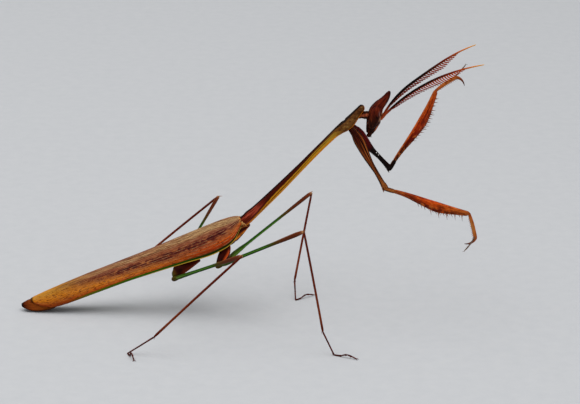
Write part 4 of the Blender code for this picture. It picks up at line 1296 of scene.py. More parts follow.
# Degrees: (bearing out from straight ahead, pitch) of each part, and the turn of the tarsus.
FORE_POSE = {
    "right": {"coxa": (14.0, -60.2), "femur": (27.6, -7.8), "tibia": (26.0, -74.0),
              "tarsus": -48.0},
    "left": {"coxa": (30.2, -47.75), "femur": (25.5, 56.1), "tibia": (20.8, 27.5),
             "tarsus": 13.0},
}
FORE_COXA = [
    (0.00, 0.55, 0.55, -0.60), (0.07, 0.80, 0.95, -0.78), (0.17, 0.84, 1.03, -0.96),
    (0.30, 0.76, 0.84, -0.92), (0.45, 0.62, 0.52, -0.80), (0.60, 0.48, 0.34, -0.60),
    (0.75, 0.40, 0.36, -0.42), (0.88, 0.42, 0.42, -0.44), (0.96, 0.46, 0.46, -0.52),
    (1.00, 0.34, 0.34, -0.40),
]
COXA_ROOT = [(0.0, 0.60, 0.66, -0.66), (0.5, 0.68, 0.78, -0.72), (1.0, 0.50, 0.55, -0.55)]
BACK_LOBE = [(0.0, 0.10, 0.14, -0.2), (0.6, 0.16, 0.18, -0.2), (1.0, 0.08, 0.08, -0.1)]
UNDER_LOBE = [(0.0, 0.12, 0.14, -0.14), (0.6, 0.16, 0.16, -0.12), (1.0, 0.04, 0.04, -0.04)]
FORE_TROCHANTER = [(0.0, 0.28, 0.30, -0.30), (0.3, 0.37, 0.42, -0.40), (0.7, 0.36, 0.42, -0.40),
                   (1.0, 0.28, 0.32, -0.30)]
FORE_FEMUR = [
    (0.00, 0.30, 0.36, -0.32), (0.08, 0.34, 0.42, -0.36), (0.18, 0.38, 0.46, -0.50),
    (0.28, 0.44, 0.46, -0.80), (0.38, 0.49, 0.42, -1.10), (0.48, 0.51, 0.38, -1.40),
    (0.58, 0.51, 0.36, -1.66), (0.66, 0.47, 0.32, -1.58), (0.74, 0.42, 0.28, -1.40),
    (0.83, 0.38, 0.24, -1.14), (0.92, 0.35, 0.22, -0.90), (0.98, 0.31, 0.20, -0.72),
    (1.00, 0.26, 0.12, -0.50),
]
FORE_TIBIA = [
    (0.00, 0.20, 0.20, -0.22), (0.08, 0.26, 0.28, -0.30), (0.30, 0.26, 0.36, -0.34),
    (0.60, 0.25, 0.36, -0.36), (0.66, 0.24, 0.32, -0.34), (0.74, 0.21, 0.24, -0.26),
    (0.84, 0.15, 0.17, -0.17), (0.94, 0.08, 0.09, -0.09), (1.00, 0.03, 0.03, -0.03),
]
TIBIA_BOW = 0.12
FEMUR_SAG = {"right": 0.05, "left": 0.44}
CLAW_TURN, CLAW_LENGTH, CLAW_STEPS = 102.0, 2.8, 7
FORE_TARSUS_LENGTH, FORE_TARSUS_RADIUS, FORE_CLAWS = 3.2, 0.13, 0.42
# Shares of the femur's length at which its spines stand.
OUTER_SPINES = (0.51, 0.615, 0.72, 0.825, 0.915)
INNER_SPINES = (0.465, 0.49, 0.515, 0.54, 0.565, 0.59, 0.615, 0.64, 0.665, 0.69, 0.715, 0.745,
                0.77, 0.82, 0.87, 0.91)
LONG_INNER_SPINES = (0.465, 0.515, 0.565, 0.615, 0.665, 0.715, 0.77, 0.87)
DISCOIDAL_SPINES = (0.325, 0.37, 0.415)
OUTER_REACH, LONG_REACH, SHORT_REACH, DISCOIDAL_REACH = 0.92, 0.62, 0.30, 0.70


def fore_coxa_finish():
    look = Finish("fore coxa chitin")
    along, inner = look.along, look.round.near(0.25, 0.30).rising(0.0, 0.4)
    streak = look.noise(look.rolled(1.6, 5.2), 4.0)
    fine = look.grit(8.0, 3.0)
    outer = look.ramp(along, (0.0, (60, 16, 8)), (0.10, (82, 24, 10)), (0.3, (108, 46, 16)),
                      (0.6, (108, 46, 16)), (0.8, (116, 56, 22)), (0.88, (134, 74, 32)),
                      (0.975, (142, 82, 38)), (1.0, (96, 48, 22)))
    outer = look.blend(outer, (22, 5, 3), streak.rising(0.50, 0.54) * 0.94
                       * along.falling(0.90, 0.99))
    outer = look.blend(outer, (206, 116, 48), streak.falling(0.40, 0.46) * 0.7)
    inside = look.ramp(along, (0.0, (108, 18, 12)), (0.25, (116, 14, 14)), (0.40, (84, 10, 8)),
                       (0.50, (8, 4, 3)), (0.9, (5, 6, 4)), (1.0, (16, 12, 8)))
    inside = look.blend(inside, (40, 6, 5), streak.rising(0.50, 0.58) * 0.7)
    look.colour = look.blend(outer, inside, inner)
    edge = look.round.near(0.53, 0.19) + look.round.near(0.02, 0.05) + look.round.near(0.98, 0.05)
    look.paint((16, 4, 2), edge.rising(0.0, 0.5) * 0.92 * along.falling(0.90, 0.98))
    dots = along.near(0.60, 0.014) + along.near(0.66, 0.014)
    look.paint((232, 232, 224), (dots * look.round.near(0.22, 0.07)).rising(0.1, 0.4))
    return look.dress(0.36 + fine * 0.16, streak + fine * 0.5, 0.05)


def fore_femur_finish():
    look = Finish("fore femur chitin")
    along, inner = look.along, look.round.near(0.25, 0.2).rising(0.0, 0.5)
    grain = look.noise(look.rolled(14.0, 1.6), 5.0)
    fine = look.grit(8.0, 3.0)
    outer = look.ramp(along, (0.0, (170, 96, 44)), (0.10, (150, 62, 20)), (0.25, (150, 54, 14)),
                      (0.45, (196, 68, 12)), (0.65, (208, 82, 16)), (0.85, (208, 100, 30)),
                      (1.0, (176, 92, 38)))
    inside = look.ramp(along, (0.0, (22, 8, 4)), (0.10, (18, 5, 2)), (0.20, (58, 10, 4)),
                       (0.35, (116, 20, 4)), (0.52, (166, 44, 6)), (0.75, (200, 74, 14)),
                       (1.0, (176, 68, 18)))
    look.colour = look.blend(outer, inside, inner)
    belly = abs(look.round - 0.5).falling(0.13, 0.22)
    spots = look.grit(2.2, 4.0, 0.7)
    look.paint((44, 10, 4), belly * spots.rising(0.42, 0.52) * 0.92
               * along.near(0.52, 0.5).rising(0.0, 0.4) * (1.0 - inner * 0.6))
    look.paint((100, 28, 8), grain.rising(0.52, 0.61) * 0.65)
    streaks = look.noise(look.rolled(3.0, 4.5), 4.0)
    look.paint((96, 24, 6), streaks.rising(0.50, 0.56) * 0.75)
    look.paint((214, 116, 44), look.round.near(0.02, 0.07) * 0.4 * (1.0 - inner))
    look.paint((230, 120, 44), grain.falling(0.36, 0.45) * 0.5)
    look.paint((24, 6, 3), look.round.near(0.5, 0.06) * 0.6)
    return look.dress(0.36 + fine * 0.18, grain * 0.6 + fine, 0.06)


def fore_tibia_finish():
    look = Finish("fore tibia chitin")
    grain = look.noise(look.rolled(10.0, 1.4), 5.0)
    look.colour = look.ramp(look.along, (0.0, (130, 60, 22)), (0.1, (176, 88, 34)),
                            (0.4, (192, 108, 44)), (0.60, (178, 90, 34)), (0.8, (132, 60, 22)),
                            (0.94, (60, 20, 8)), (1.0, (22, 7, 4)))
    look.paint((104, 38, 12), grain.rising(0.5, 0.6) * 0.6)
    look.paint((216, 150, 78), look.round.near(0.75, 0.14) * look.along.near(0.35, 0.3) * 0.5)
    look.paint((48, 16, 6), look.round.near(0.5, 0.07) * 0.6)
    return look.dress(0.36 + grain * 0.15, grain, 0.05)


def tarsus_finish(name, light, dark):
    look = Finish(name)
    grain = look.noise(look.rolled(12.0, 1.2), 4.0)
    bands = (look.along * 5.0 % 1.0).near(0.0, 0.12) + (look.along * 5.0 % 1.0).near(1.0, 0.1)
    look.colour = look.blend(light, dark, grain.rising(0.4, 0.62))
    look.paint((28, 10, 7), bands * 0.6)
    return look.dress(0.42 + grain * 0.15, grain, 0.03)


def foot(clay, path, up, side, radius, claws, waists=(0.42, 0.60, 0.74, 0.86)):
    """A tarsus of five joints, with a pad under the end of each, that ends in two claws."""
    def shape(share, pairs):
        waist = max(swell(share, centre, 0.016) for centre in waists)
        pad = max(swell(share, centre - 0.022, 0.02) for centre in waists)
        across, high = (pairs * (1 - 0.34 * waist + 0.12 * pad)).T
        return np.stack((across, np.where(high < 0, high * (1 + 0.9 * pad), high)), axis=1)

    rows = [(0.0, radius, radius, -radius), (0.4, 0.85 * radius, 0.85 * radius, -0.85 * radius),
            (0.86, 0.9 * radius, 0.85 * radius, -0.85 * radius),
            (1.0, 0.7 * radius, 0.6 * radius, -0.7 * radius)]
    limb(clay, path, up, rows, side, steps=120, sides=14, shape=shape)
    tip, ahead = np.array(path[-1]), unit(np.array(path[-1]) - np.array(path[-2]))
    high = square(up, ahead)
    for way in (-1, 1):
        out = np.cross(high, ahead) * way
        points = [tip - ahead * 0.1, tip + (ahead * 0.45 + out * 0.5) * claws * 0.5 + high * 0.05,
                  tip + (ahead * 0.8 + out * 0.85) * claws * 0.7,
                  tip + (ahead * 1.0 + out * 0.9) * claws * 0.78 - high * 0.3 * claws]
        limb(clay, points, up, bars((0.0, 0.5 * radius), (1.0, 0.1 * radius)), side, steps=16,
             sides=8, lie=(0.96, 1.0), ends=(0.05, 0.05))


def knee_lobes(clay, femur, side, root, tip, *sizes):
    """A flat lobe on each side of a knee, between places given as (along, across, up)."""
    for way in (-1, 1):
        path = [femur.at(along, way * across, up) for along, across, up in (root, tip)]
        limb(clay, path, femur.up, bars(*sizes), side, steps=18, sides=14, lie=(0.96, 1.0),
             ends=(0.15, 0.15))


class Foreleg:
    """The axes of one raptorial leg in its pose."""

    def __init__(self, side):
        self.side, self.sign, pose = side, SIDES[side], FORE_POSE[side]
        self.coxa = Axes(mirrored(FORE_ROOT, self.sign), *pose["coxa"], self.sign)
        self.femur = Axes(self.coxa.at(COXA_LENGTH), *pose["femur"], self.sign)
        knee = self.thigh(1.0, 0.0, -0.12)
        self.shin = Axes(knee, *pose["tibia"], self.sign)
        self.tarsus_turn = math.radians(pose["tarsus"])

    def thigh(self, share, across=0.0, up=0.0):
        """A place on the femur, at a share of its length beyond the trochanter."""
        return self.femur.at(TROCHANTER + share * THIGH, across, up)

    def sag(self, share):
        """How far the femur's middle line sags at a share of its length."""
        return -4 * FEMUR_SAG[self.side] * share * (1 - share)

    def piece(self, clay, part, finish, *nodes):
        piece = clay.piece(f"{self.side}_fore_{part}", finish)
        settle(piece, f"fore_{part}", *(f"fore_{node}_{self.side}" for node in nodes))


def fore_coxa_shape(share, pairs):
    """An edge along the back of the coxa and a furrow along each side."""
    across, up = pairs.T
    edge = 0.05 * swell(across, 0.0, 0.10) * (up > 0) * eased(share, 0.1, 0.3)
    furrow = 0.08 * swell(up, 0.1, 0.14) * swell(share, 0.45, 0.4)
    return np.stack((across * (1 - furrow), up + edge), axis=1)


def coxa_lobes(clay, coxa, side):
    """Two lobes on the back of the coxa's end, and one that points ahead under it."""
    for way in (-1, 1):
        path = [coxa.at(COXA_LENGTH - 1.1, way * 0.26, 0.34),
                coxa.at(COXA_LENGTH + 0.15, way * 0.30, 0.36)]
        limb(clay, path, coxa.up, BACK_LOBE, side, steps=18, sides=14, lie=(0.93, 0.97),
             ends=(0.15, 0.15))
    path = [coxa.at(COXA_LENGTH - 1.2, 0, -0.28), coxa.at(COXA_LENGTH - 0.2, 0, -0.50),
            coxa.at(COXA_LENGTH + 0.42, 0, -0.62)]
    limb(clay, path, coxa.up, UNDER_LOBE, side, steps=20, sides=14, lie=(0.98, 1.0),
         ends=(0.08, 0.05))


def make_fore_coxa(leg, finish):
    """The coxa with its root and its lobes, and the trochanter beyond it."""
    coxa, femur, side = leg.coxa, leg.femur, leg.sign
    clay = Clay()
    limb(clay, [coxa.at(0), coxa.at(COXA_LENGTH - 0.25)], coxa.up, FORE_COXA, side, steps=90,
         sides=40, shape=fore_coxa_shape)
    root = [coxa.at(1.6), coxa.at(0.3), coxa.at(-0.9, -side * 0.3, -0.35)]
    limb(clay, root, coxa.up, COXA_ROOT, -side, steps=24, sides=32, lie=(0.12, -0.08),
         ends=(0.1, 0.1))
    limb(clay, [femur.at(-0.25), femur.at(TROCHANTER + 0.25)], femur.up, FORE_TROCHANTER, side,
         steps=30, sides=28, lie=(0.88, 0.96), ends=(0.1, 0.1))
    coxa_lobes(clay, coxa, side)
    egg(clay, coxa.at(COXA_LENGTH - 0.15, 0.0, -0.05), (coxa.forward, coxa.across * -side, coxa.up),
        (0.50, 0.32, 0.42), lie=(0.9, 0.96))
    leg.piece(clay, "coxa", finish, "coxa", "trochanter")


def fore_femur_shape(share, pairs):
    """A femur with a narrow keel below, a crest on its back and a groove for the tibia."""
    across, up = pairs.T
    belly = np.clip(-up, 0.0, None)
    keel = 0.30 * swell(share, 0.58, 0.28)
    across = across * (1 - keel * eased(belly, 0.3, 1.2))
    crest = 0.05 * swell(across, 0.0, 0.12) * (up > 0)
    groove = 0.16 * swell(across, 0.0, 0.10) * (up < -0.2) * eased(share, 0.45, 0.6)
    ridge = 1 + 0.06 * swell(up, -0.05, 0.10) * eased(share, 0.15, 0.35)
    return np.stack((across * ridge, up + crest + groove), axis=1)


def make_fore_femur(leg, finish):
    clay = Clay()
    path = [leg.thigh(share, 0.0, leg.sag(share)) for share in (0.0, 0.25, 0.5, 0.75, 1.0)]
    limb(clay, path, leg.femur.up, FORE_FEMUR, leg.sign, steps=120, sides=44, ends=(0.015, 0.02),
         shape=fore_femur_shape)
    end = TROCHANTER + THIGH
    knee_lobes(clay, leg.femur, leg.sign, (end - 1.0, 0.22, -0.12), (end + 0.22, 0.26, -0.20),
               (0.0, 0.08, 0.2), (0.6, 0.10, 0.26), (1.0, 0.05, 0.1))
    leg.piece(clay, "femur", finish, "femur")


def femur_spine_rows():
    """Every spine under the femur, as (share, length, row)."""
    inner = [(share, LONG_REACH if share in LONG_INNER_SPINES else SHORT_REACH, -1)
             for share in INNER_SPINES]
    return ([(share, OUTER_REACH, 1) for share in OUTER_SPINES] + inner
            + [(share, DISCOIDAL_REACH, 0) for share in DISCOIDAL_SPINES])


def make_femur_spines(leg, finish):
    """The spines under the femur in their three rows, and the small teeth on its back."""
    bed, femur = Bed(), leg.femur
    for share, reach, row in femur_spine_rows():
        width, top, under = through(FORE_FEMUR, [share])[0]
        root = leg.thigh(share, leg.sign * row * 0.30 * width, under + 0.14 + leg.sag(share))
        aim = femur.forward * 0.36 - femur.up + femur.across * leg.sign * 0.38 * row
        bed.plant(root, aim, femur.forward, reach + 0.14, 0.09 if reach > 0.5 else 0.06, share)
    for share in np.linspace(0.12, 0.9, 26):
        width, top, under = through(FORE_FEMUR, [share])[0]
        bed.plant(leg.thigh(share, 0.0, top + leg.sag(share)), femur.up + femur.forward * 0.6,
                  femur.forward, 0.10, 0.04, share)
    bed.grow(f"{leg.side}_fore_femur_spines", finish, "fore_femur", sides=9, segments=6,
             tip=0.06, bend=1.0)


def make_fore_tibia(leg, finish):
    """The tibia, bowed a little, with the hooked claw at its end."""
    shin = leg.shin
    path = [shin.at(-0.12 + share * SHIN, 0.0, TIBIA_BOW * math.sin(math.pi * share))
            for share in (0.0, 0.25, 0.5, 0.75, 0.92)]
    for i in range(1, CLAW_STEPS + 1):
        turned = math.radians(-CLAW_TURN * (i / CLAW_STEPS) ** 0.6)
        way = shin.forward * math.cos(turned) + shin.up * math.sin(turned)
        path.append(path[-1] + way * CLAW_LENGTH / CLAW_STEPS)
    clay = Clay()
    limb(clay, path, shin.up, FORE_TIBIA, leg.sign, steps=110, sides=28, ends=(0.02, 0.01))
    leg.piece(clay, "tibia", finish, "tibia")


def make_tibia_spines(leg, finish):
    """Two rows of spines under the tibia, longer towards its end."""
    bed, shin = Bed(), leg.shin
    for row, count in ((-1, 11), (1, 8)):
        for share in np.linspace(0.18, 0.86, count):
            root = shin.at(share * SHIN, 0.14 * row, TIBIA_BOW * math.sin(math.pi * share) - 0.24)
            bed.plant(root, shin.forward * 0.55 - shin.up + shin.across * 0.25 * row,
                      shin.forward, 0.30 + 0.25 * share, 0.055, share)
    bed.grow(f"{leg.side}_fore_tibia_spines", finish, "fore_tibia", sides=8, segments=5,
             tip=0.06, bend=1.2)


def make_fore_tarsus(leg, finish):
    shin = leg.shin
    way = shin.forward * math.cos(leg.tarsus_turn) + shin.up * math.sin(leg.tarsus_turn)
    out = shin.across * leg.sign
    root = shin.at(0.86 * SHIN, leg.sign * 0.20, 0.05)
    path = [root, root + out * 0.25 + way * 0.35 * FORE_TARSUS_LENGTH + shin.forward * 0.22,
            root + out * 0.35 + way * 0.75 * FORE_TARSUS_LENGTH + shin.forward * 0.14,
            root + out * 0.40 + way * FORE_TARSUS_LENGTH]
    clay = Clay()
    foot(clay, path, shin.up, leg.sign, FORE_TARSUS_RADIUS, FORE_CLAWS)
    settle(clay.piece(f"{leg.side}_fore_tarsus", finish), "tarsus", f"fore_tarsus_{leg.side}")


def make_foreleg(side, looks):
    leg = Foreleg(side)
    make_fore_coxa(leg, looks["coxa"])
    make_fore_femur(leg, looks["femur"])
    make_femur_spines(leg, looks["spines"])
    make_fore_tibia(leg, looks["tibia"])
    make_tibia_spines(leg, looks["spines"])
    make_fore_tarsus(leg, looks["tarsus"])


# ------------------------------------------------------------------ walking legs

# The root, the length of each part, the arch of the foot and the swelling of the femur.
WALKING = {
    "mid": {"root": (-3.30, 1.20, 12.20), "coxa": 3.80, "femur": 24.4, "tibia": 18.0,
            "basitarsus": 4.4, "tarsus": 4.9, "arch": 0.42, "swelling": 0.50},
    "hind": {"root": (-8.30, 1.15, 10.05), "coxa": 5.75, "femur": 24.2, "tibia": 21.05,
             "basitarsus": 5.65, "tarsus": 4.2, "arch": 0.75, "swelling": 0.38},
}
# Degrees: (bearing out from straight ahead, pitch) of each part. The basitarsus, the long first
# joint of the foot, has a bearing only, since its end rests on the floor.
WALKING_POSE = {
    ("mid", "right"): {"coxa": (122.9, -40.0), "femur": (44.5, 27.7), "tibia": (56.4, -70.9),
                       "basitarsus": 36.0, "tarsus": (29.6, 0.0)},
    ("mid", "left"): {"coxa": (94.5, -66.0), "femur": (45.0, 19.5), "tibia": (-107.6, -50.7),
                      "basitarsus": -88.0, "tarsus": (40.5, 0.0)},
    ("hind", "right"): {"coxa": (157.0, -30.0), "femur": (55.3, 25.0), "tibia": (168.4, -41.1),
                        "basitarsus": -173.0, "tarsus": (71.0, 0.0)},
    ("hind", "left"): {"coxa": (156.0, -32.0), "femur": (70.0, 18.0), "tibia": (-162.8, -35.6),
                       "basitarsus": -169.3, "tarsus": (-96.2, 0.0)},
}
FOOT_RADIUS, CLAWS, CLAW_REACH = 0.16, 0.45, 0.48
KNEE_SPINE, FAR_KNEE_SPINE = 0.5, 0.87
# (distance from the middle line, count)
FEMUR_BRISTLES, TIBIA_BRISTLES = (0.24, 34), (0.15, 60)
TARSUS_JOINTS = (0.0, 0.33, 0.58, 0.80)
COXAE = {
    "mid": [(0.0, 0.70, 0.80, -0.70), (0.25, 0.86, 1.00, -0.90), (0.5, 0.80, 0.92, -0.84),
            (0.8, 0.56, 0.64, -0.60), (1.0, 0.34, 0.38, -0.36)],
    "hind": [(0.0, 0.50, 0.60, -0.14), (0.25, 0.66, 0.95, -0.12), (0.5, 0.72, 1.30, -0.14),
             (0.78, 0.64, 1.66, -0.16), (0.90, 0.52, 1.35, -0.20), (1.0, 0.36, 0.80, -0.24)],
}
TROCHANTER_ROWS = [(0.0, 0.34, 0.36, -0.36), (0.35, 0.46, 0.50, -0.48),
                   (0.75, 0.40, 0.42, -0.42), (1.0, 0.26, 0.28, -0.28)]
WALKING_TIBIA = bars((0.0, 0.12, 0.13), (0.012, 0.14, 0.15), (0.04, 0.165, 0.18),
                     (0.09, 0.19, 0.22), (0.4, 0.20, 0.22), (0.8, 0.20, 0.215),
                     (0.96, 0.21, 0.23), (1.0, 0.14, 0.15))


def walking_coxa_finish(pair, edge):
    look = Finish(f"{pair} coxa chitin", Roughness=0.55)
    grain = look.noise(look.rolled(5.0, 1.6), 5.0)
    look.colour = look.ramp(look.along, (0.0, (84, 20, 8)), (0.4, (62, 12, 5)), (0.8, (46, 10, 5)),
                            (0.88, (84, 52, 14)), (1.0, (76, 80, 22)))
    look.paint((22, 6, 3), grain.rising(0.48, 0.62) * 0.7)
    look.paint((222, 84, 18), look.round.near(0.26, 0.11) * edge
               * look.along.near(0.4, 0.45).rising(0.0, 0.5))
    return look.dress(0.5 + grain * 0.15, grain, 0.06)


def walking_femur_finish():
    look = Finish("walking femur chitin")
    grain = look.noise(look.rolled(24.0, 1.4), 5.0)
    fine = look.grit(8.0, 3.0)
    place = look.along + (grain - 0.5) * 0.06
    look.colour = look.ramp(place, (0.0, (70, 74, 24)), (0.05, (62, 84, 22)), (0.16, (34, 76, 8)),
                            (0.3, (26, 78, 5)), (0.56, (34, 78, 6)), (0.66, (78, 58, 12)),
                            (0.75, (92, 42, 14)), (0.90, (96, 40, 14)), (0.97, (118, 54, 22)),
                            (1.0, (190, 140, 96)))
    side = look.round.near(0.25, 0.12) + look.round.near(0.75, 0.06)
    look.paint((112, 160, 56), side * place.falling(0.5, 0.64) * 0.6)
    look.paint((176, 96, 30), look.round.near(0.93, 0.05) * place.rising(0.6, 0.7)
               * place.falling(0.93, 0.98) * 0.6)
    edge = look.round.near(0.5, 0.18) + look.round.near(0.0, 0.10) + look.round.near(1.0, 0.10)
    look.paint((10, 20, 3), edge * place.falling(0.55, 0.66) * 0.75)
    look.paint((40, 10, 4), edge * place.rising(0.58, 0.68) * place.falling(0.95, 0.99) * 0.7)
    look.paint((16, 12, 3), grain.rising(0.56, 0.7) * 0.4)
    return look.dress(0.34 + fine * 0.15, grain + fine * 0.4, 0.04)


def walking_tibia_finish():
    look = Finish("walking tibia chitin")
    grain = look.noise(look.rolled(30.0, 1.3), 5.0)
    look.colour = look.ramp(look.along, (0.0, (150, 92, 54)), (0.025, (90, 34, 14)),
                            (0.07, (88, 26, 9)), (0.5, (98, 30, 10)), (0.85, (122, 50, 16)),
                            (1.0, (84, 22, 7)))
    look.paint((26, 4, 2), grain.rising(0.54, 0.66) * 0.5)
    look.paint((146, 62, 20), grain.falling(0.3, 0.42) * 0.5)
    return look.dress(0.36 + grain * 0.15, grain, 0.04)


class WalkingLeg:
    """The sizes and the axes of one walking leg in its pose."""

    def __init__(self, pair, side):
        self.pair, self.side, self.sign = pair, side, SIDES[side]
        self.sizes, self.pose = WALKING[pair], WALKING_POSE[pair, side]
        self.coxa = Axes(mirrored(self.sizes["root"], self.sign), *self.pose["coxa"], self.sign)
        self.femur = Axes(self.coxa.at(self.sizes["coxa"]), *self.pose["femur"], self.sign)
        self.shin = Axes(self.femur.at(self.sizes["femur"]), *self.pose["tibia"], self.sign)

    def piece(self, clay, part, finish, slot, *nodes):
        piece = clay.piece(f"{self.side}_{self.pair}_{part}", finish)
        settle(piece, slot, *(f"{self.pair}_{node}_{self.side}" for node in nodes))


def walking_coxa_shape(_, pairs):
    """A low ridge along the back."""
    across, up = pairs.T
    ridge = 1 + 0.10 * swell(across, 0.0, 0.15) * (up > 0)
    return np.stack((across, up * ridge), axis=1)


def make_walking_coxa(leg, finish):
    """The coxa, and the trochanter beyond it."""
    clay = Clay()
    coxa, femur = leg.coxa, leg.femur
    limb(clay, [coxa.at(-0.3), coxa.at(leg.sizes["coxa"])], coxa.up, COXAE[leg.pair], leg.sign,
         steps=60, sides=32, ends=(0.06, 0.05), shape=walking_coxa_shape)
    limb(clay, [femur.at(-0.35), femur.at(1.55)], femur.up, TROCHANTER_ROWS, leg.sign, steps=30,
         sides=28, lie=(0.86, 1.0), ends=(0.12, 0.1))
    leg.piece(clay, "coxa", finish, "walking_coxa", "coxa", "trochanter")


def walking_femur_rows(swelling):
    """Sections of a femur that is swollen near its root."""
    return [(0.0, 0.34, 0.38, -0.38), (0.05, 0.85 * swelling, swelling, -swelling),
            (0.12, 0.75 * swelling, 0.88 * swelling, -0.85 * swelling),
            (0.21, 0.26, 0.31, -0.30), (0.34, 0.24, 0.28, -0.27), (0.60, 0.24, 0.28, -0.27),
            (0.78, 0.29, 0.35, -0.33), (0.90, 0.32, 0.39, -0.36), (0.965, 0.31, 0.36, -0.34),
            (1.0, 0.24, 0.24, -0.22)]


def walking_femur_shape(share, pairs):
    """Four fine keels that fade out at both ends."""
    across, up = pairs.T
    keels = 0.10 * (swell(across, 0.0, 0.07) + swell(up, 0.0, 0.06)) * eased(share, 0.05, 0.15)
    return pairs * (1 + keels * (1 - eased(share, 0.9, 0.97)))[:, None]


def knee_spine(leg):
    """Way and length of the spine over a knee, which points straight ahead on one leg."""
    if (leg.pair, leg.side) == ("hind", "left"):
        return np.array((1.0, 0.0, 0.0)) * FAR_KNEE_SPINE
    return leg.femur.forward * KNEE_SPINE


def make_walking_femur(leg, finish):
    clay = Clay()
    femur, length = leg.femur, leg.sizes["femur"]
    limb(clay, [femur.at(1.25), femur.at(length - 0.05)], femur.up,
         walking_femur_rows(leg.sizes["swelling"]), leg.sign, steps=150, sides=24,
         ends=(0.015, 0.012), shape=walking_femur_shape)
    knee_lobes(clay, femur, leg.sign, (length - 0.85, 0.15, -0.05), (length - 0.02, 0.20, -0.10),
               (0.0, 0.08, 0.16), (0.6, 0.10, 0.20), (1.0, 0.05, 0.08))
    root = femur.at(length - 0.15, 0.0, 0.12)
    limb(clay, [root, root + knee_spine(leg)], femur.up, bars((0.0, 0.09), (1.0, 0.02)),
         leg.sign, steps=14, sides=10, lie=(0.97, 1.0), ends=(0.05, 0.04))
    leg.piece(clay, "femur", finish, "walking_femur", "femur")


def make_walking_tibia(leg, finish):
    """The tibia from inside the knee to the ankle, with two spurs at its end."""
    clay = Clay()
    shin, length = leg.shin, leg.sizes["tibia"]
    path = [leg.femur.at(leg.sizes["femur"] - 0.16), shin.at(0.30), shin.at(0.9),
            shin.at(0.5 * length, 0, 0.06), shin.at(length)]
    limb(clay, path, shin.up, WALKING_TIBIA, leg.sign, steps=140, sides=18, ends=(0.01, 0.01))
    for way in (-1, 1):
        root = shin.at(length - 0.25, way * 0.10, -0.08)
        spur = unit(shin.forward - shin.up * 0.35 + shin.across * way * 0.25) * 0.55
        limb(clay, [root, root + spur], shin.up, bars((0.0, 0.06), (1.0, 0.015)), leg.sign,
             steps=12, sides=8, lie=(0.95, 1.0), ends=(0.05, 0.05))
    leg.piece(clay, "tibia", finish, "walking_tibia", "tibia")


def make_bristles(leg, finish):
    """Scattered fine bristles under the femur and the tibia."""
    bed = Bed()
    for axes, length, (radius, count) in (
        (leg.femur, leg.sizes["femur"], FEMUR_BRISTLES),
        (leg.shin, leg.sizes["tibia"], TIBIA_BRISTLES),
    ):
        for i in range(count):
            share = 0.08 + 0.88 * i / count
            turn = math.radians(180 + 62 * math.sin(i * 2.4))
            out = axes.across * math.sin(turn) + axes.up * math.cos(turn)
            bed.plant(axes.at(share * length) + out * radius * 0.9, out + axes.forward * 0.9,
                      axes.forward, 0.20, 0.016, share)
    bed.grow(f"{leg.side}_{leg.pair}_bristles", finish, "walking_tibia", sides=4, segments=2,
             tip=0.2, bend=1.5, jitter=0.4)


def make_walking_tarsus(leg, finish):
    """A long first joint that slopes down to the floor, and four that arch up from it."""
    ankle, long = leg.shin.at(leg.sizes["tibia"]), leg.sizes["basitarsus"]
    drop = math.degrees(math.asin((ankle[2] - FLOOR - FOOT_RADIUS) / long))
    first = Axes(ankle, leg.pose["basitarsus"], -drop, leg.sign)
    last = Axes(first.at(long), *leg.pose["tarsus"], leg.sign)
    end, arch = leg.sizes["tarsus"] - CLAW_REACH, leg.sizes["arch"]
    path = [first.at(-0.05), first.at(0.5 * long), first.at(long - 0.2), last.at(0.2),
            last.at(0.30 * end, 0, 0.06), last.at(0.55 * end, 0, arch),
            last.at(0.78 * end, 0, 0.7 * arch), last.at(end)]
    heel = long / (long + end)
    waists = [heel + (1 - heel) * share for share in TARSUS_JOINTS]
    clay = Clay()
    foot(clay, path, (0, 0, 1), leg.sign, FOOT_RADIUS, CLAWS, waists)
    leg.piece(clay, "tarsus", finish, "tarsus", "tarsus")


def make_walking_leg(pair, side, looks):
    leg = WalkingLeg(pair, side)
    make_walking_coxa(leg, looks["coxa"][pair])
    make_walking_femur(leg, looks["femur"])
    make_walking_tibia(leg, looks["tibia"])
    make_bristles(leg, looks["bristles"])
    make_walking_tarsus(leg, looks["tarsus"])


# ------------------------------------------------------------------ the animal

make_pronotum()
make_denticles()
make_trunk()
make_neck()
make_wings()
make_head()
make_antennae()
fore_looks = {
    "spines": spine_finish("spines", (150, 76, 32), (26, 10, 6)),
    "coxa": fore_coxa_finish(),
    "femur": fore_femur_finish(),
    "tibia": fore_tibia_finish(),
    "tarsus": tarsus_finish("fore tarsus", (140, 112, 92), (84, 62, 50)),
}
walking_looks = {
    "coxa": {"mid": walking_coxa_finish("mid", 1.0), "hind": walking_coxa_finish("hind", 0.15)},
    "femur": walking_femur_finish(),
    "tibia": walking_tibia_finish(),
    "tarsus": tarsus_finish("walking tarsus", (100, 30, 12), (48, 12, 5)),
    "bristles": spine_finish("bristles", (110, 60, 34), (70, 34, 20)),
}
for side in SIDES:
    make_foreleg(side, fore_looks)
    for pair in WALKING:
        make_walking_leg(pair, side, walking_looks)


# ------------------------------------------------------------------ floor, light and camera

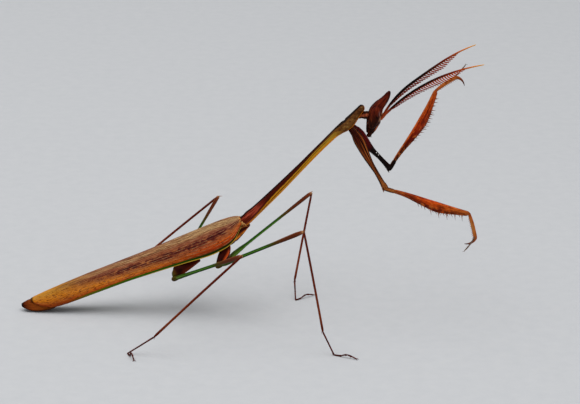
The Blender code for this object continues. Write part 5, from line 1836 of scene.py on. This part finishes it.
FLOOR_SIZE = 6.0
LAMPS = [("key", (-0.2, -0.35, 1.0), 1.5, 11.5), ("fill", (0.5, -0.8, 0.5), 0.8, 3.0),
         ("rim", (0.0, 0.7, 0.8), 0.8, 1.5)]
LAMP_TARGET = np.array((0.0, 0.0, 0.02))
SKY_COLOUR, SKY_STRENGTH = (0.97, 0.985, 1.0, 1.0), 0.40
CAMERA_RISE, CAMERA_TURN, CAMERA_AWAY = 17.0, -1.0, 500.0
CAMERA_TARGET = np.array((8.4, 0.0, 20.82))
SENSOR, VIEW_WIDTH = 36.0, 105.72366
LENS = SENSOR * CAMERA_AWAY / VIEW_WIDTH


def floor_finish():
    look = Finish("floor", Roughness=0.7)
    grain = look.grit(0.4, 6.0)
    look.colour = look.blend((196, 198, 201), (206, 207, 209), grain)
    return look.dress(None, grain, 0.1)


def make_floor():
    mesh = bpy.data.meshes.new("floor")
    half = FLOOR_SIZE / 2
    mesh.from_pydata([(-half, -half, 0), (half, -half, 0), (half, half, 0), (-half, half, 0)],
                     [], [(0, 1, 2, 3)])
    mesh.materials.append(floor_finish())
    floor = bpy.data.objects.new("floor", mesh)
    bpy.context.scene.collection.objects.link(floor)


def make_sky():
    world = bpy.data.worlds.new("studio")
    world.use_nodes = True
    backdrop = world.node_tree.nodes["Background"]
    backdrop.inputs["Color"].default_value = SKY_COLOUR
    backdrop.inputs["Strength"].default_value = SKY_STRENGTH
    bpy.context.scene.world = world


def make_lamps():
    """Square lamps that face the animal, in metres and watts."""
    for name, place, size, power in LAMPS:
        lamp = bpy.data.lights.new(name, "AREA")
        lamp.size, lamp.energy = size, power
        obj = bpy.data.objects.new(name, lamp)
        obj.location = place
        way = LAMP_TARGET - place
        obj.rotation_euler = (math.acos(way[2] / np.linalg.norm(way)) + math.pi, 0.0,
                              math.atan2(way[1], way[0]) - math.pi / 2)
        bpy.context.scene.collection.objects.link(obj)


def make_camera():
    lens = bpy.data.cameras.new("camera")
    lens.sensor_width, lens.lens, lens.clip_start = SENSOR, LENS, 0.01
    camera = bpy.data.objects.new("camera", lens)
    rise, turn = math.radians(CAMERA_RISE), math.radians(CAMERA_TURN)
    back = np.array((math.sin(turn) * math.cos(rise), -math.cos(turn) * math.cos(rise),
                     math.sin(rise)))
    camera.location = (CAMERA_TARGET + PLACE + back * CAMERA_AWAY) * MM
    camera.rotation_euler = (math.pi / 2 - rise, 0.0, turn)
    bpy.context.scene.collection.objects.link(camera)
    bpy.context.scene.camera = camera
    bpy.context.scene.view_settings.view_transform = "Standard"


make_floor()
make_sky()
make_lamps()
make_camera()
